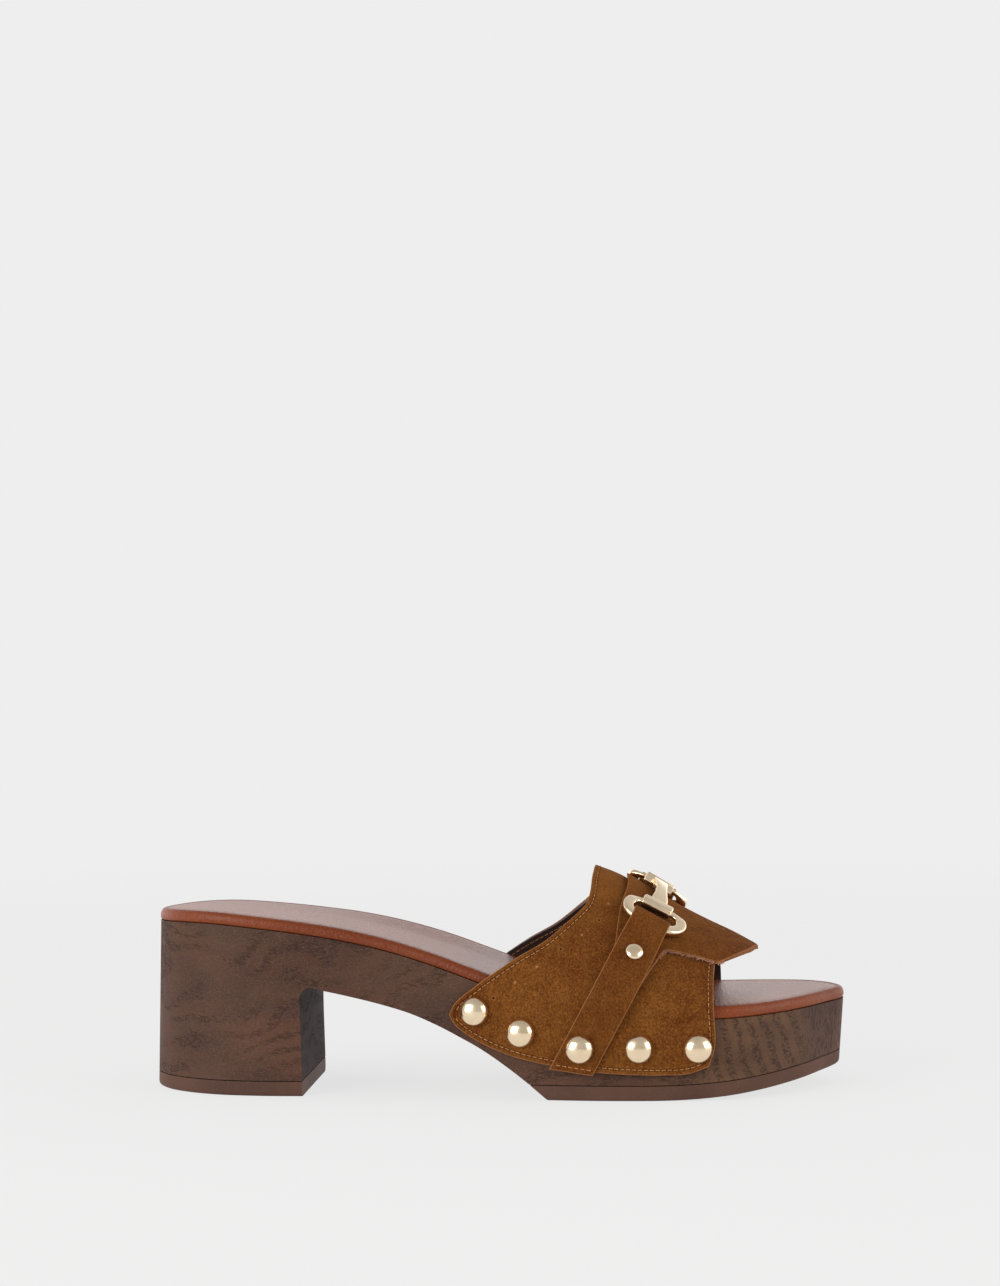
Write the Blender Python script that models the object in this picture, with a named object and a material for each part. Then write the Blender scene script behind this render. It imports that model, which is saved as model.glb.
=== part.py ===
"""A block-heeled clog mule, right foot: a wood-effect base, a suede band held on by domed
studs, a pointed instep flap, and two slanted straps that hold a ring-and-bar bit.

All sizes are in millimetres. X runs from heel to toe, Y towards the inner side, Z up."""

import math

import bmesh
import bpy
import numpy as np
from mathutils import Matrix, Vector

MM = 0.001

# Base
SHOE_LENGTH = 247.0
BALL_HALF_WIDTH = 43.5
HEEL_HEIGHT = 60.0
PLATFORM_HEIGHT = 28.2
OUTSOLE_THICKNESS = 5.2
TOP_PIECE_THICKNESS = 5.2
TOE_SPRING = 6.2
HEEL_LENGTH = 56.0
BREAST_RADIUS = 4.0
BREAST_FLARE = 0.6
SHANK_THICKNESS = 19.0
HEEL_FLARE = 1.3
TOE_TAPER = 2.3
ARCH_RISE = 1.5
INSOLE_THICKNESS = 4.0
INSOLE_ROLL = 3.0
FLARE_SHARES = (0.15, 0.40)
TAPER_SHARES = (0.60, 1.00)
ARCH_SHARE = 0.40
ARCH_SPREAD = 0.15
ARCH_SIDE = (0.1, 0.7)
SPRING_SHARE = 0.727
SPRING_LENGTH = 0.26
SPRING_POWER = 1.7

# Upper
INSTEP_RISE = 50.0
BAND_WALL = 2.0
FLAP_WALL = 1.4
RIDGE_SHIFT = 0.4
ARCH_ROUNDNESS = 1.54
STRAP_WIDTH = 14.2
STRAP_TOP_WIDTH = 13.6
STRAP_WALL = 1.4
STRAP_RETURN_WALL = 0.8
STRAP_SLANT = 0.54
FOOT_SHEAR = 0.37
FOOT_SHEAR_LENGTH = 14.0
NARROWING_LENGTH = 14.0
TAIL_MARGIN = 3.0
TAIL_STEP = 4.0
RETURN_PAST_RIVET = 6.0
RETURN_STEP = 4.5
FOLD_RAMP = (2.0, 7.0)
RETURN_START = 3.0
UPRIGHT_GIRTHS = (0.20, 0.45)

# Metal
STUD_DIAMETER = 10.2
STUD_RISE = 4.0
RIVET_DIAMETER = 6.4
RIVET_RISE = 1.8
RIVET_FROM_BIT = 36.0
BIT_SIDE_SHIFT = -7.2
BIT_TWIST = 3.2
TWIST_OUTER = (-18.0, 6.0)
TWIST_INNER = (14.0, 40.0)
BAR_REACH = 12.5
COLLAR_LENGTH = 11.4
COLLAR_WIDTH = 4.6
COLLAR_DEPTH = 4.0
BAR_END_WIDTH = 6.4
BAR_WAIST_WIDTH = 4.4
BAR_DEPTH = 3.2
BAR_CORNER = 0.7
COLLAR_STEP = 0.1
BORE_REACH = 0.8
PIN_ENDS = (-0.95, -0.45)
RING_STRAIGHT = 12.0
RING_BEND = 4.7
WIRE_DIAMETER = 3.1
PIN_DIAMETER = 1.8

# Gaps
CLEARANCE = 0.3
SIDE_CLEARANCE = 0.4
FOLD_CLEARANCE = 0.3

# Columns: share of the length from the heel's back, share of the ball's half width
OUTER_EDGE = ((0.028, 0.322), (0.059, 0.494), (0.108, 0.644), (0.168, 0.713), (0.257, 0.736),
              (0.367, 0.770), (0.464, 0.851), (0.565, 0.943), (0.662, 1.000), (0.743, 1.005),
              (0.796, 0.995), (0.845, 0.931), (0.885, 0.800), (0.926, 0.590), (0.950, 0.425),
              (0.972, 0.225))
INNER_EDGE = ((0.028, 0.322), (0.059, 0.494), (0.108, 0.632), (0.168, 0.701), (0.257, 0.701),
              (0.367, 0.667), (0.464, 0.701), (0.565, 0.816), (0.662, 0.943), (0.743, 1.000),
              (0.820, 0.992), (0.885, 0.900), (0.938, 0.740), (0.970, 0.560), (0.990, 0.370))
TOE_TIP_SHARE = 0.12

# Columns: share of the length, rise of the base's top from the platform to the heel height
TOP_LINE = ((0.000, 0.985), (0.051, 1.006), (0.096, 1.004), (0.159, 0.962), (0.229, 0.896),
            (0.293, 0.815), (0.353, 0.708), (0.422, 0.548), (0.474, 0.405), (0.525, 0.265),
            (0.585, 0.135), (0.646, 0.050), (0.707, 0.013), (0.768, 0.000), (0.820, 0.000),
            (0.869, 0.013), (0.909, 0.028), (0.950, 0.047), (1.000, 0.066))

# Columns: share of the length, depth of the arch under the top line in shank thicknesses
UNDER_LINE = ((0.260, 0.974), (0.299, 0.990), (0.351, 1.000), (0.386, 1.010), (0.421, 1.053),
              (0.455, 1.116), (0.485, 1.185), (0.512, 1.285), (0.552, 1.505), (0.573, 1.658),
              (0.594, 1.850))

# Columns: inset from the base's edge in roll widths, rise in insole thicknesses
INSOLE_EDGE = ((0.20, 0.00), (0.00, 0.20), (0.00, 0.62), (0.16, 0.86), (0.55, 1.00),
               (1.00, 0.94), (1.60, 1.00))

# Columns: share of the length, height over the platform in instep rises
CROWN_LINE = ((0.442, 1.310), (0.504, 1.240), (0.585, 1.122), (0.643, 1.008), (0.677, 0.942),
              (0.727, 0.791), (0.773, 0.656), (0.805, 0.574), (0.842, 0.486), (0.877, 0.390))
BAND_REAR = ((0.442, 0.028), (0.448, 0.086), (0.477, 0.214), (0.503, 0.308), (0.536, 0.416),
             (0.580, 0.542), (0.611, 0.666), (0.628, 0.740), (0.6345, 0.775), (0.639, 0.852),
             (0.6405, 0.940), (0.643, 1.008))
BAND_FRONT = ((0.806, -0.320), (0.8135, -0.218), (0.814, 0.074), (0.814, 0.288), (0.820, 0.526))
FLAP_REAR = ((0.666, 0.206), (0.670, 0.356), (0.677, 0.520), (0.679, 0.606), (0.682, 0.706),
             (0.687, 0.786), (0.691, 0.836), (0.691, 0.882), (0.689, 0.924))
FLAP_FRONT = ((0.701, 0.146), (0.717, 0.266), (0.735, 0.380), (0.746, 0.440), (0.760, 0.432),
              (0.774, 0.415), (0.803, 0.375), (0.8207, 0.350))

# Columns: share of the length, girth coordinate
FLAP_POINT = ((0.8207, 0.535), (0.8327, 0.479), (0.8412, 0.432), (0.8497, 0.376), (0.8598, 0.294),
              (0.8685, 0.199), (0.8775, 0.000))
GIRTH_LENGTH = 60.0
EDGE_POINTS = 200

# Columns: share of the length, height in platform heights
BAND_FOOT = ((0.442, 1.050), (0.447, 0.954), (0.464, 0.823), (0.497, 0.663), (0.530, 0.553),
             (0.562, 0.482), (0.587, 0.443), (0.656, 0.362), (0.706, 0.337), (0.740, 0.333),
             (0.782, 0.358), (0.806, 0.433))
STUDS = ((0.479, 1.092), (0.544, 0.840), (0.627, 0.660), (0.709, 0.660), (0.791, 0.660))
STRAP_FOOT = (0.6145, 0.370)
STRAP_STUD = 2

# Columns: share of the bar's reach, half width, half depth
BAR_STATIONS = ((0.00, BAR_WAIST_WIDTH / 2, BAR_DEPTH / 2 + 0.3),
                (0.35, BAR_WAIST_WIDTH / 2 + 0.3, BAR_DEPTH / 2 + 0.15),
                (0.72, BAR_END_WIDTH / 2, BAR_DEPTH / 2))

# Mesh divisions
SIDE_STEPS = 40
RUNGS = 4
BAND_STEPS = 14
BAND_ROWS = 20
FLAP_STEPS = 8
FLAP_ROWS = 12
STRAP_STEPS = 3
STRAP_STEP_LENGTH = 3.0
RING_BEND_STEPS = 8
WIRE_SIDES = 8
STUD_SIDES = 12
STUD_RINGS = 4
BAR_SIDES = 12
ARCH_STEPS = 17
CORNER_STEPS = 5
FOLD_STEPS = 6
RETURN_STEPS = 3
FINE_STEPS = 200
EDGE_DRAFT = 40
EDGE_SKIP = 10
SLANT_PASSES = 30


def along(share):
    """Distance from the middle of the shoe at a share of its length from the heel's back."""
    return (np.asarray(share) - 0.5) * SHOE_LENGTH


def ramp(value, start, end):
    """Smooth step: 0 up to start, 1 from end on."""
    t = np.clip((value - start) / (end - start), 0.0, 1.0)
    return t * t * (3.0 - 2.0 * t)


def curve(rows, at):
    """Cubic line through the rows of a table, each row's slope taken from its neighbours."""
    xs, ys = np.asarray(rows, float).T
    slopes = np.gradient(ys, xs)
    at = np.clip(at, xs[0], xs[-1])
    i = np.clip(np.searchsorted(xs, at) - 1, 0, len(xs) - 2)
    span = xs[i + 1] - xs[i]
    t = (at - xs[i]) / span
    start = (1.0 + 2.0 * t) * (1.0 - t) ** 2 * ys[i] + t * (1.0 - t) ** 2 * span * slopes[i]
    end = t * t * (3.0 - 2.0 * t) * ys[i + 1] - t * t * (1.0 - t) * span * slopes[i + 1]
    return start + end


def path(points, count):
    """Evenly spaced points on the smooth line through the given points."""
    points = np.asarray(points, float)
    steps = np.linalg.norm(np.diff(points, axis=0), axis=1)
    length = np.concatenate([[0.0], np.cumsum(steps)])
    at = np.linspace(0.0, length[-1], count)
    return np.stack([curve(np.stack([length, column], 1), at) for column in points.T], 1)


def edge_loop(steps):
    """The base's top outline from above, anticlockwise from the heel along the outer side."""
    heel = (along(HEEL_FLARE / SHOE_LENGTH), 0.0)
    toe = (along(1.0), TOE_TIP_SHARE * BALL_HALF_WIDTH)
    outer = [(along(a), -w * BALL_HALF_WIDTH) for a, w in OUTER_EDGE]
    inner = [(along(a), w * BALL_HALF_WIDTH) for a, w in INNER_EDGE]
    wrap = 2
    before = [*inner[:wrap][::-1], heel]
    to_toe = path([*before, *outer, toe, *inner[-wrap:][::-1]], EDGE_DRAFT * steps)
    to_heel = path([*outer[-wrap:], toe, *inner[::-1], heel, *outer[:wrap]], EDGE_DRAFT * steps)
    halves = []
    for line, start, end in ((to_toe, heel, toe), (to_heel, toe, heel)):
        first = np.argmin(np.linalg.norm(line - start, axis=1))
        last = np.argmin(np.linalg.norm(line - end, axis=1))
        halves.append(path(line[first:last + 1:EDGE_SKIP], steps + 1)[:-1])
    halves[0][0] = heel
    halves[1][0] = toe
    return np.concatenate(halves)


def inset(loop, distance):
    """Each point of a loop moved inwards along the loop's normal."""
    tangent = np.roll(loop, -1, 0) - np.roll(loop, 1, 0)
    tangent /= np.linalg.norm(tangent, axis=1)[:, None]
    normal = np.stack([tangent[:, 1], -tangent[:, 0]], 1)
    return loop - normal * np.reshape(distance, (-1, 1))


FINE_EDGE = edge_loop(FINE_STEPS)
BAND_FRONT_X = along(BAND_FRONT[-2][0])


def half_width(x, side):
    """Distance from the middle line to the base's top edge, side -1 outer and 1 inner."""
    half = FINE_EDGE[:FINE_STEPS + 1] if side < 0 else FINE_EDGE[FINE_STEPS:][::-1]
    return np.interp(x, half[:, 0], np.abs(half[:, 1]))


def flare(x):
    """How far the base's foot stands outside its top edge: out at the heel, in at the toe."""
    share = x / SHOE_LENGTH + 0.5
    return HEEL_FLARE * (1.0 - ramp(share, *FLARE_SHARES)) - TOE_TAPER * ramp(share, *TAPER_SHARES)


def top_height(x, y):
    """Height of the base's top, with the inner side raised under the arch of the foot."""
    share = x / SHOE_LENGTH + 0.5
    rise = curve(TOP_LINE, share) * (HEEL_HEIGHT - PLATFORM_HEIGHT)
    arch = np.exp(-((share - ARCH_SHARE) / ARCH_SPREAD) ** 2) * ramp(y / BALL_HALF_WIDTH, *ARCH_SIDE)
    return PLATFORM_HEIGHT + rise + ARCH_RISE * arch


def floor_height(x):
    """Height of the sole's underside: flat under the ball, rising to the toe spring."""
    t = np.maximum((x / SHOE_LENGTH + 0.5 - SPRING_SHARE) / SPRING_LENGTH, 0.0)
    return TOE_SPRING * t ** SPRING_POWER


def crown_height(x):
    """Height of the band's outer surface along its ridge."""
    return PLATFORM_HEIGHT + INSTEP_RISE * curve(CROWN_LINE, x / SHOE_LENGTH + 0.5)


def wall_sizes(x, side, lift):
    """Spring height, crown height and half width of a cross section, lifted off the band."""
    near = np.minimum(x, BAND_FRONT_X)
    spring = top_height(near, 0.0) + INSOLE_THICKNESS
    crown = crown_height(x) + lift * math.hypot(1.0, STRAP_SLANT)
    wall = half_width(near, side) + SIDE_CLEARANCE + BAND_WALL + lift
    return spring, crown, wall


def section(x, girth, side, lift):
    """A point of the upper: girth 0 on the ridge, 1 where the wall stands upright, 2 on the floor.
    Above the upright wall each side is a quarter of a superellipse."""
    spring, crown, wall = wall_sizes(x, side, lift)
    angle = np.clip(girth, 0.0, 1.0) * math.pi / 2
    power = 2.0 / ARCH_ROUNDNESS
    over_y = RIDGE_SHIFT + side * (wall - side * RIDGE_SHIFT) * np.sin(angle) ** power
    over_z = spring + (crown - spring) * np.cos(angle) ** power
    wall_z = spring * (2.0 - girth)
    drop = np.clip(1.0 - wall_z / (spring - INSOLE_THICKNESS), 0.0, 1.0)
    wall_y = side * (wall + flare(np.minimum(x, BAND_FRONT_X)) * drop)
    on_wall = girth > 1.0
    y = np.where(on_wall, wall_y, over_y)
    z = np.where(on_wall, wall_z, over_z)
    return np.stack([x, y, z], -1)


def girth_at(x, z, side, lift):
    """The girth coordinate of the section point at a given height."""
    spring, crown, _ = wall_sizes(x, side, lift)
    share = np.clip((z - spring) / (crown - spring), 0.0, 1.0)
    over = np.arccos(share ** (ARCH_ROUNDNESS / 2)) * 2 / math.pi
    return np.where(z < spring, 2.0 - z / spring, over)


def edge_line(rows, rise, base, count):
    """A table's edge as (x, girth) points; its heights are base plus shares of rise."""
    x, z = path([(along(a), base + h * rise) for a, h in rows], count).T
    return np.stack([x, girth_at(x, z, -1, 0.0)], 1)


def shell(outer, inner):
    """Points and faces of a closed sheet between two grids of points."""
    rows, columns = outer.shape[:2]
    points = np.concatenate([outer.reshape(-1, 3), inner.reshape(-1, 3)])
    top = np.arange(rows * columns).reshape(rows, columns)
    low = top + rows * columns
    faces = []

    def strip(a, b):
        faces.append(np.stack([a[:-1], a[1:], b[1:], b[:-1]], -1).reshape(-1, 4))

    for i in range(rows - 1):
        strip(top[i], top[i + 1])
        strip(low[i + 1], low[i])
    strip(low[:, 0], top[:, 0])
    strip(top[:, -1], low[:, -1])
    strip(low[0], top[0])
    strip(top[-1], low[-1])
    return points, [tuple(face) for face in np.concatenate(faces).tolist()]


def stack(rings, bottom_height, lid_height):
    """Points and faces of a body whose rings are stacked from bottom to top, closed below and
    above by straight rungs between its two sides, at the heights that two functions give."""
    size = len(rings[0])
    half = size // 2
    points = np.concatenate(rings)
    faces = []
    for k in range(len(rings) - 1):
        low = np.arange(size) + k * size
        up = low + size
        faces += np.stack([low, np.roll(low, -1), np.roll(up, -1), up], 1).tolist()
    for ring, height, flip in ((0, bottom_height, True), (len(rings) - 1, lid_height, False)):
        start = ring * size
        ladder = np.zeros((half + 1, RUNGS + 1), int)
        ladder[0] = start
        ladder[half] = start + half
        extra = []
        for i in range(1, half):
            ladder[i, 0] = start + i
            ladder[i, RUNGS] = start + size - i
            a, b = points[start + i], points[start + size - i]
            for j in range(1, RUNGS):
                x, y, _ = a + (b - a) * j / RUNGS
                ladder[i, j] = len(points) + len(extra)
                extra.append((x, y, float(height(x, y))))
        points = np.concatenate([points, extra])
        for i in range(half):
            for j in range(RUNGS):
                face = [ladder[i, j], ladder[i + 1, j], ladder[i + 1, j + 1], ladder[i, j + 1]]
                face = list(dict.fromkeys(int(f) for f in face))
                faces.append(face[::-1] if flip else face)
    return points, [tuple(face) for face in faces]


def lathe(grid, closed=False):
    """Points and faces of a body made of rings of points, its two ends joined or capped."""
    count, sides = grid.shape[:2]
    index = np.arange(count * sides).reshape(count, sides)
    low, up = (index, np.roll(index, -1, 0)) if closed else (index[:-1], index[1:])
    walls = np.stack([low, np.roll(low, -1, 1), np.roll(up, -1, 1), up], -1).reshape(-1, 4)
    faces = [tuple(face) for face in walls.tolist()]
    if not closed:
        faces += [tuple(index[0, ::-1].tolist()), tuple(index[-1].tolist())]
    return grid.reshape(-1, 3), faces


def material(name, colour, roughness, metallic=0.0):
    """A plain finish of one colour."""
    made = bpy.data.materials.new(name)
    made.use_nodes = True
    shader = made.node_tree.nodes["Principled BSDF"]
    shader.inputs["Base Color"].default_value = (*colour, 1.0)
    shader.inputs["Roughness"].default_value = roughness
    shader.inputs["Metallic"].default_value = metallic
    return made


def mesh_of(name, points, faces):
    """A mesh in metres whose faces point outwards."""
    mesh = bpy.data.meshes.new(name)
    mesh.from_pydata((np.asarray(points) * MM).tolist(), [], faces)
    shape = bmesh.new()
    shape.from_mesh(mesh)
    bmesh.ops.recalc_face_normals(shape, faces=shape.faces)
    if shape.calc_volume(signed=True) < 0.0:
        bmesh.ops.reverse_faces(shape, faces=shape.faces)
    shape.to_mesh(mesh)
    shape.free()
    return mesh


def put(name, mesh, finish):
    """An object with its mesh and finish, in the scene."""
    made = bpy.data.objects.new(name, mesh)
    if not mesh.materials:
        mesh.materials.append(finish)
    bpy.context.scene.collection.objects.link(made)
    return made


def smooth(made, angle):
    """Shade round pieces smooth, with edges sharper than the angle kept."""
    made.data.shade_smooth()
    made.data.set_sharp_from_angle(angle=math.radians(angle))


def cut(made, cutter):
    """Take a hidden cutter's shape out of an object."""
    cutter.hide_render = True
    cutter.display_type = "WIRE"
    step = made.modifiers.new(cutter.name, "BOOLEAN")
    step.operation = "DIFFERENCE"
    step.object = cutter


def arch_cutter(name):
    """The space under the waist: an upright heel breast, a round corner and the arch's curve."""
    breast = along(0.0) + HEEL_LENGTH
    shares = np.linspace(UNDER_LINE[0][0], UNDER_LINE[-1][0], ARCH_STEPS + 1)
    x = along(shares)
    z = top_height(x, 0.0) - SHANK_THICKNESS * curve(UNDER_LINE, shares)
    turn = np.linspace(math.pi, math.pi / 2, CORNER_STEPS + 1)
    corner = top_height(breast, 0.0) - SHANK_THICKNESS * UNDER_LINE[0][1] - BREAST_RADIUS
    below = -PLATFORM_HEIGHT
    outline = [(breast + BREAST_FLARE, below)]
    outline += [(breast + BREAST_RADIUS * (1 + math.cos(a)), corner + BREAST_RADIUS * math.sin(a))
                for a in turn]
    outline += [(a, b) for a, b in zip(x, z) if a > breast + 1.5 * BREAST_RADIUS]
    outline.append((outline[-1][0], below))
    reach = 1.5 * BALL_HALF_WIDTH
    count = len(outline)
    points = [(a, side * reach, b) for side in (-1, 1) for a, b in outline]
    faces = [tuple(range(count)), tuple(range(2 * count - 1, count - 1, -1))]
    faces += [(i, i + count, (i + 1) % count + count, (i + 1) % count) for i in range(count)]
    return put(name, mesh_of(name, points, faces), None)


def flared(loop, height, top):
    """The outline of the base's side at a height, given the height of its top edge."""
    return inset(loop, -flare(loop[:, 0]) * np.clip(1.0 - height / top, 0.0, 1.0))


def build_base(wood, rubber):
    """The wood-effect base with its heel, and the outsole and the heel's top piece below it."""
    loop = edge_loop(SIDE_STEPS)
    top = top_height(loop[:, 0], loop[:, 1])
    breast = along(0.0) + HEEL_LENGTH
    middle = (breast + along(UNDER_LINE[-1][0])) / 2
    toe_end = along(1.0)

    def seam_height(x, y, gap):
        thickness = np.where(x < middle, TOP_PIECE_THICKNESS, OUTSOLE_THICKNESS)
        return floor_height(x) + thickness + gap + 0.0 * y

    def ring_at(height):
        return np.column_stack([flared(loop, height, top), height])

    low = seam_height(loop[:, 0], 0.0, CLEARANCE)
    points, faces = stack([ring_at(low), np.column_stack([loop, top])],
                          lambda x, y: seam_height(x, y, CLEARANCE), top_height)
    base = put("wood_base", mesh_of("wood_base", points, faces), wood)
    cut(base, arch_cutter("cut_arch_base"))
    smooth(base, 35)

    under = floor_height(loop[:, 0])
    seam = seam_height(loop[:, 0], 0.0, 0.0)
    points, faces = stack([ring_at(under), ring_at(seam)], lambda x, y: floor_height(x),
                          lambda x, y: seam_height(x, y, 0.0))
    for name, low_x, high_x in (("outsole", middle, toe_end), ("heel_top_piece", -toe_end, middle)):
        piece = put(name, mesh_of(name, points, faces), rubber)
        margin = SHOE_LENGTH
        start, end = (low_x - margin, low_x) if name == "outsole" else (high_x, high_x + margin)
        half = bpy.data.meshes.new("cut_half_" + name)
        shape = bmesh.new()
        bmesh.ops.create_cube(shape, size=1.0)
        size = Vector((end - start, margin, margin)) * MM
        bmesh.ops.scale(shape, vec=size, verts=shape.verts)
        bmesh.ops.translate(shape, vec=Vector(((start + end) / 2, 0, 0)) * MM, verts=shape.verts)
        shape.to_mesh(half)
        shape.free()
        cut(piece, put("cut_half_" + name, half, None))
        cut(piece, arch_cutter("cut_arch_" + name))
        smooth(piece, 35)


def build_insole(leather):
    """The padded insole: a rolled edge, a crease just inside it and a slightly raised middle."""
    loop = edge_loop(SIDE_STEPS)
    seat = top_height(loop[:, 0], loop[:, 1]) + CLEARANCE
    rings = []
    for inward, rise in INSOLE_EDGE:
        ring = inset(loop, inward * INSOLE_ROLL)
        rings.append(np.column_stack([ring, seat + rise * INSOLE_THICKNESS]))
    points, faces = stack(rings, lambda x, y: top_height(x, y) + CLEARANCE,
                          lambda x, y: top_height(x, y) + CLEARANCE + INSOLE_THICKNESS)
    smooth(put("insole", mesh_of("insole", points, faces), leather), 60)


def both_sides(x, girth, lift):
    """A half grid of the upper, from its foot to the ridge, carried over to the inner side."""
    outer = section(x, girth, -1, lift)
    inner = section(x, girth, 1, lift)
    return np.concatenate([outer, inner[-2::-1]])


def build_band(suede):
    """The band over the foot: one wall of even thickness, its outline a patch of four edges."""
    rows, columns = BAND_ROWS + 1, BAND_STEPS + 1
    foot = edge_line(BAND_FOOT, PLATFORM_HEIGHT, 0.0, columns)
    rear = edge_line(BAND_REAR, INSTEP_RISE, PLATFORM_HEIGHT, rows)
    front = edge_line(BAND_FRONT, INSTEP_RISE, PLATFORM_HEIGHT, rows)
    rear[-1, 1] = 0.0
    front[-1, 1] = 0.0
    foot[0], foot[-1] = rear[0], front[0]
    crown = np.linspace(rear[-1], front[-1], columns)
    u = np.linspace(0.0, 1.0, columns)[None, :, None]
    v = np.linspace(0.0, 1.0, rows)[:, None, None]
    patch = (1 - v) * foot + v * crown + (1 - u) * rear[:, None] + u * front[:, None]
    patch -= (1 - u) * (1 - v) * rear[0] + u * (1 - v) * front[0]
    patch -= (1 - u) * v * rear[-1] + u * v * front[-1]
    x, girth = patch[..., 0], np.maximum(patch[..., 1], 0.0)
    points, faces = shell(both_sides(x, girth, 0.0), both_sides(x, girth, -BAND_WALL))
    smooth(put("upper_band", mesh_of("upper_band", points, faces), suede), 50)


def flap_edge(count):
    """The flap's front edge as (x, girth) points: its lower edge by heights, then its point."""
    lower = edge_line(FLAP_FRONT, INSTEP_RISE, PLATFORM_HEIGHT, EDGE_POINTS)
    shares = np.linspace(FLAP_POINT[0][0], FLAP_POINT[-1][0], EDGE_POINTS)
    point = np.stack([along(shares), np.maximum(curve(FLAP_POINT, shares), 0.0)], 1)
    line = np.concatenate([lower[:-1], point])
    steps = np.hypot(*(np.diff(line, axis=0) * (1.0, GIRTH_LENGTH)).T)
    length = np.concatenate([[0.0], np.cumsum(steps)])
    at = np.linspace(0.0, length[-1], count)
    return np.stack([np.interp(at, length, column) for column in line.T], 1)


def build_flap(suede):
    """The flap on the instep: a point over the toes, and a tail down each side under the strap."""
    rows = FLAP_ROWS + 1
    rear = edge_line(FLAP_REAR, INSTEP_RISE, PLATFORM_HEIGHT, rows)
    front = flap_edge(rows)
    rear[-1, 1] = 0.0
    u = np.linspace(0.0, 1.0, FLAP_STEPS + 1)[None, :, None]
    patch = (1 - u) * rear[:, None] + u * front[:, None]
    x, girth = patch[..., 0], np.maximum(patch[..., 1], 0.0)
    points, faces = shell(both_sides(x, girth, CLEARANCE + FLAP_WALL), both_sides(x, girth, CLEARANCE))
    smooth(put("instep_flap", mesh_of("instep_flap", points, faces), suede), 50)


def strap_line(turn, lift):
    """Centre line of the straps and the bit, over the instep in a plane square to its slope.
    Turn runs from -2, on the floor outside, over the ridge at 0 to 2, on the floor inside."""
    side_points = []
    foot_x = along(STRAP_FOOT[0])
    foot_z = STRAP_FOOT[1] * PLATFORM_HEIGHT
    for side in (-1, 1):
        x = np.full(turn.shape, foot_x)
        for _ in range(SLANT_PASSES):
            point = section(x, np.abs(turn), side, lift)
            twist = ramp(point[..., 1], *TWIST_OUTER) * (1.0 - ramp(point[..., 1], *TWIST_INNER))
            x = foot_x + STRAP_SLANT * (point[..., 2] - foot_z) - BIT_TWIST * twist
        side_points.append(section(x, np.abs(turn), side, lift))
    return np.where(turn[..., None] < 0.0, side_points[0], side_points[1])


TURNS = np.linspace(-1.9, 1.9, 761)
LINE = strap_line(TURNS, 0.0)
LENGTHS = np.concatenate([[0.0], np.cumsum(np.linalg.norm(np.diff(LINE, axis=0), axis=1))])
LENGTHS -= np.interp(BIT_SIDE_SHIFT, LINE[:, 1], LENGTHS)


def on_instep(across, girdle, lift):
    """A point given by its distance across the strap, its distance round the foot from the bit's
    middle, towards the inner side, and its height off the band."""
    across, girdle, lift = np.broadcast_arrays(across, girdle, lift)
    turn = np.interp(girdle, LENGTHS, TURNS)
    centre = strap_line(turn, lift)
    slope = math.hypot(1.0, STRAP_SLANT)
    x = centre[..., 0] + across / slope
    z = centre[..., 2] - across * STRAP_SLANT / slope
    points = []
    for side in (-1, 1):
        girth = np.abs(turn)
        by_height = girth_at(x, z, side, lift)
        girth = girth + (by_height - girth) * ramp(girth, *UPRIGHT_GIRTHS)
        points.append(section(x, girth, side, lift))
    return np.where(turn[..., None] < 0.0, points[0], points[1])


def strap_route(side):
    """Middle line of a strap's leather, as distance round the foot and height off the band: up
    from the sole's side, over the flap's tail, round the ring and back under itself."""
    foot_turn = girth_at(np.array(along(STRAP_FOOT[0])), np.array(STRAP_FOOT[1] * PLATFORM_HEIGHT),
                         side, 0.0)
    tail_height = PLATFORM_HEIGHT + INSTEP_RISE * FLAP_FRONT[0][1] - TAIL_MARGIN
    tail_turn = girth_at(np.array(along(FLAP_REAR[0][0])), np.array(tail_height), side, 0.0)
    foot = abs(np.interp(side * foot_turn, TURNS, LENGTHS))
    tail = abs(np.interp(side * tail_turn, TURNS, LENGTHS))
    ring = BAR_REACH + 2 * RING_BEND
    half = STRAP_WALL / 2
    on_band = CLEARANCE + half
    on_flap = CLEARANCE + FLAP_WALL + CLEARANCE
    back = on_flap + STRAP_RETURN_WALL / 2
    on_back = on_flap + STRAP_RETURN_WALL + CLEARANCE + half
    wire = ring_lift()
    over = wire + WIRE_DIAMETER / 2 + FOLD_CLEARANCE + half
    return_end = RIVET_FROM_BIT + RETURN_PAST_RIVET
    turn_in = ring - CLEARANCE
    keys = [(foot, on_band), (tail + TAIL_STEP, on_band), (tail, on_flap + half),
            (return_end + RETURN_STEP, on_flap + half), (return_end, on_back),
            (ring + FOLD_RAMP[1], on_back), (ring + FOLD_RAMP[0], over), (turn_in, over)]
    at, height = np.array(keys[::-1]).T
    steps = int(round((foot - turn_in) / STRAP_STEP_LENGTH)) + 1
    points = [(s, np.interp(s, at, height)) for s in np.linspace(foot, turn_in, steps)]
    count = len(points)
    radius = (over - back) / 2
    bend = np.linspace(math.pi / 2, -math.pi / 2, FOLD_STEPS + 1)[1:]
    points += [(turn_in - radius * math.cos(a), back + radius * (1 + math.sin(a))) for a in bend]
    points += [(s, back) for s in np.linspace(ring + RETURN_START, return_end, RETURN_STEPS + 1)]
    walls = [STRAP_WALL] * count + list(np.linspace(STRAP_WALL, STRAP_RETURN_WALL, FOLD_STEPS))
    walls += [STRAP_RETURN_WALL] * (len(points) - len(walls))
    return np.array(points), np.array(walls), foot


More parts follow.
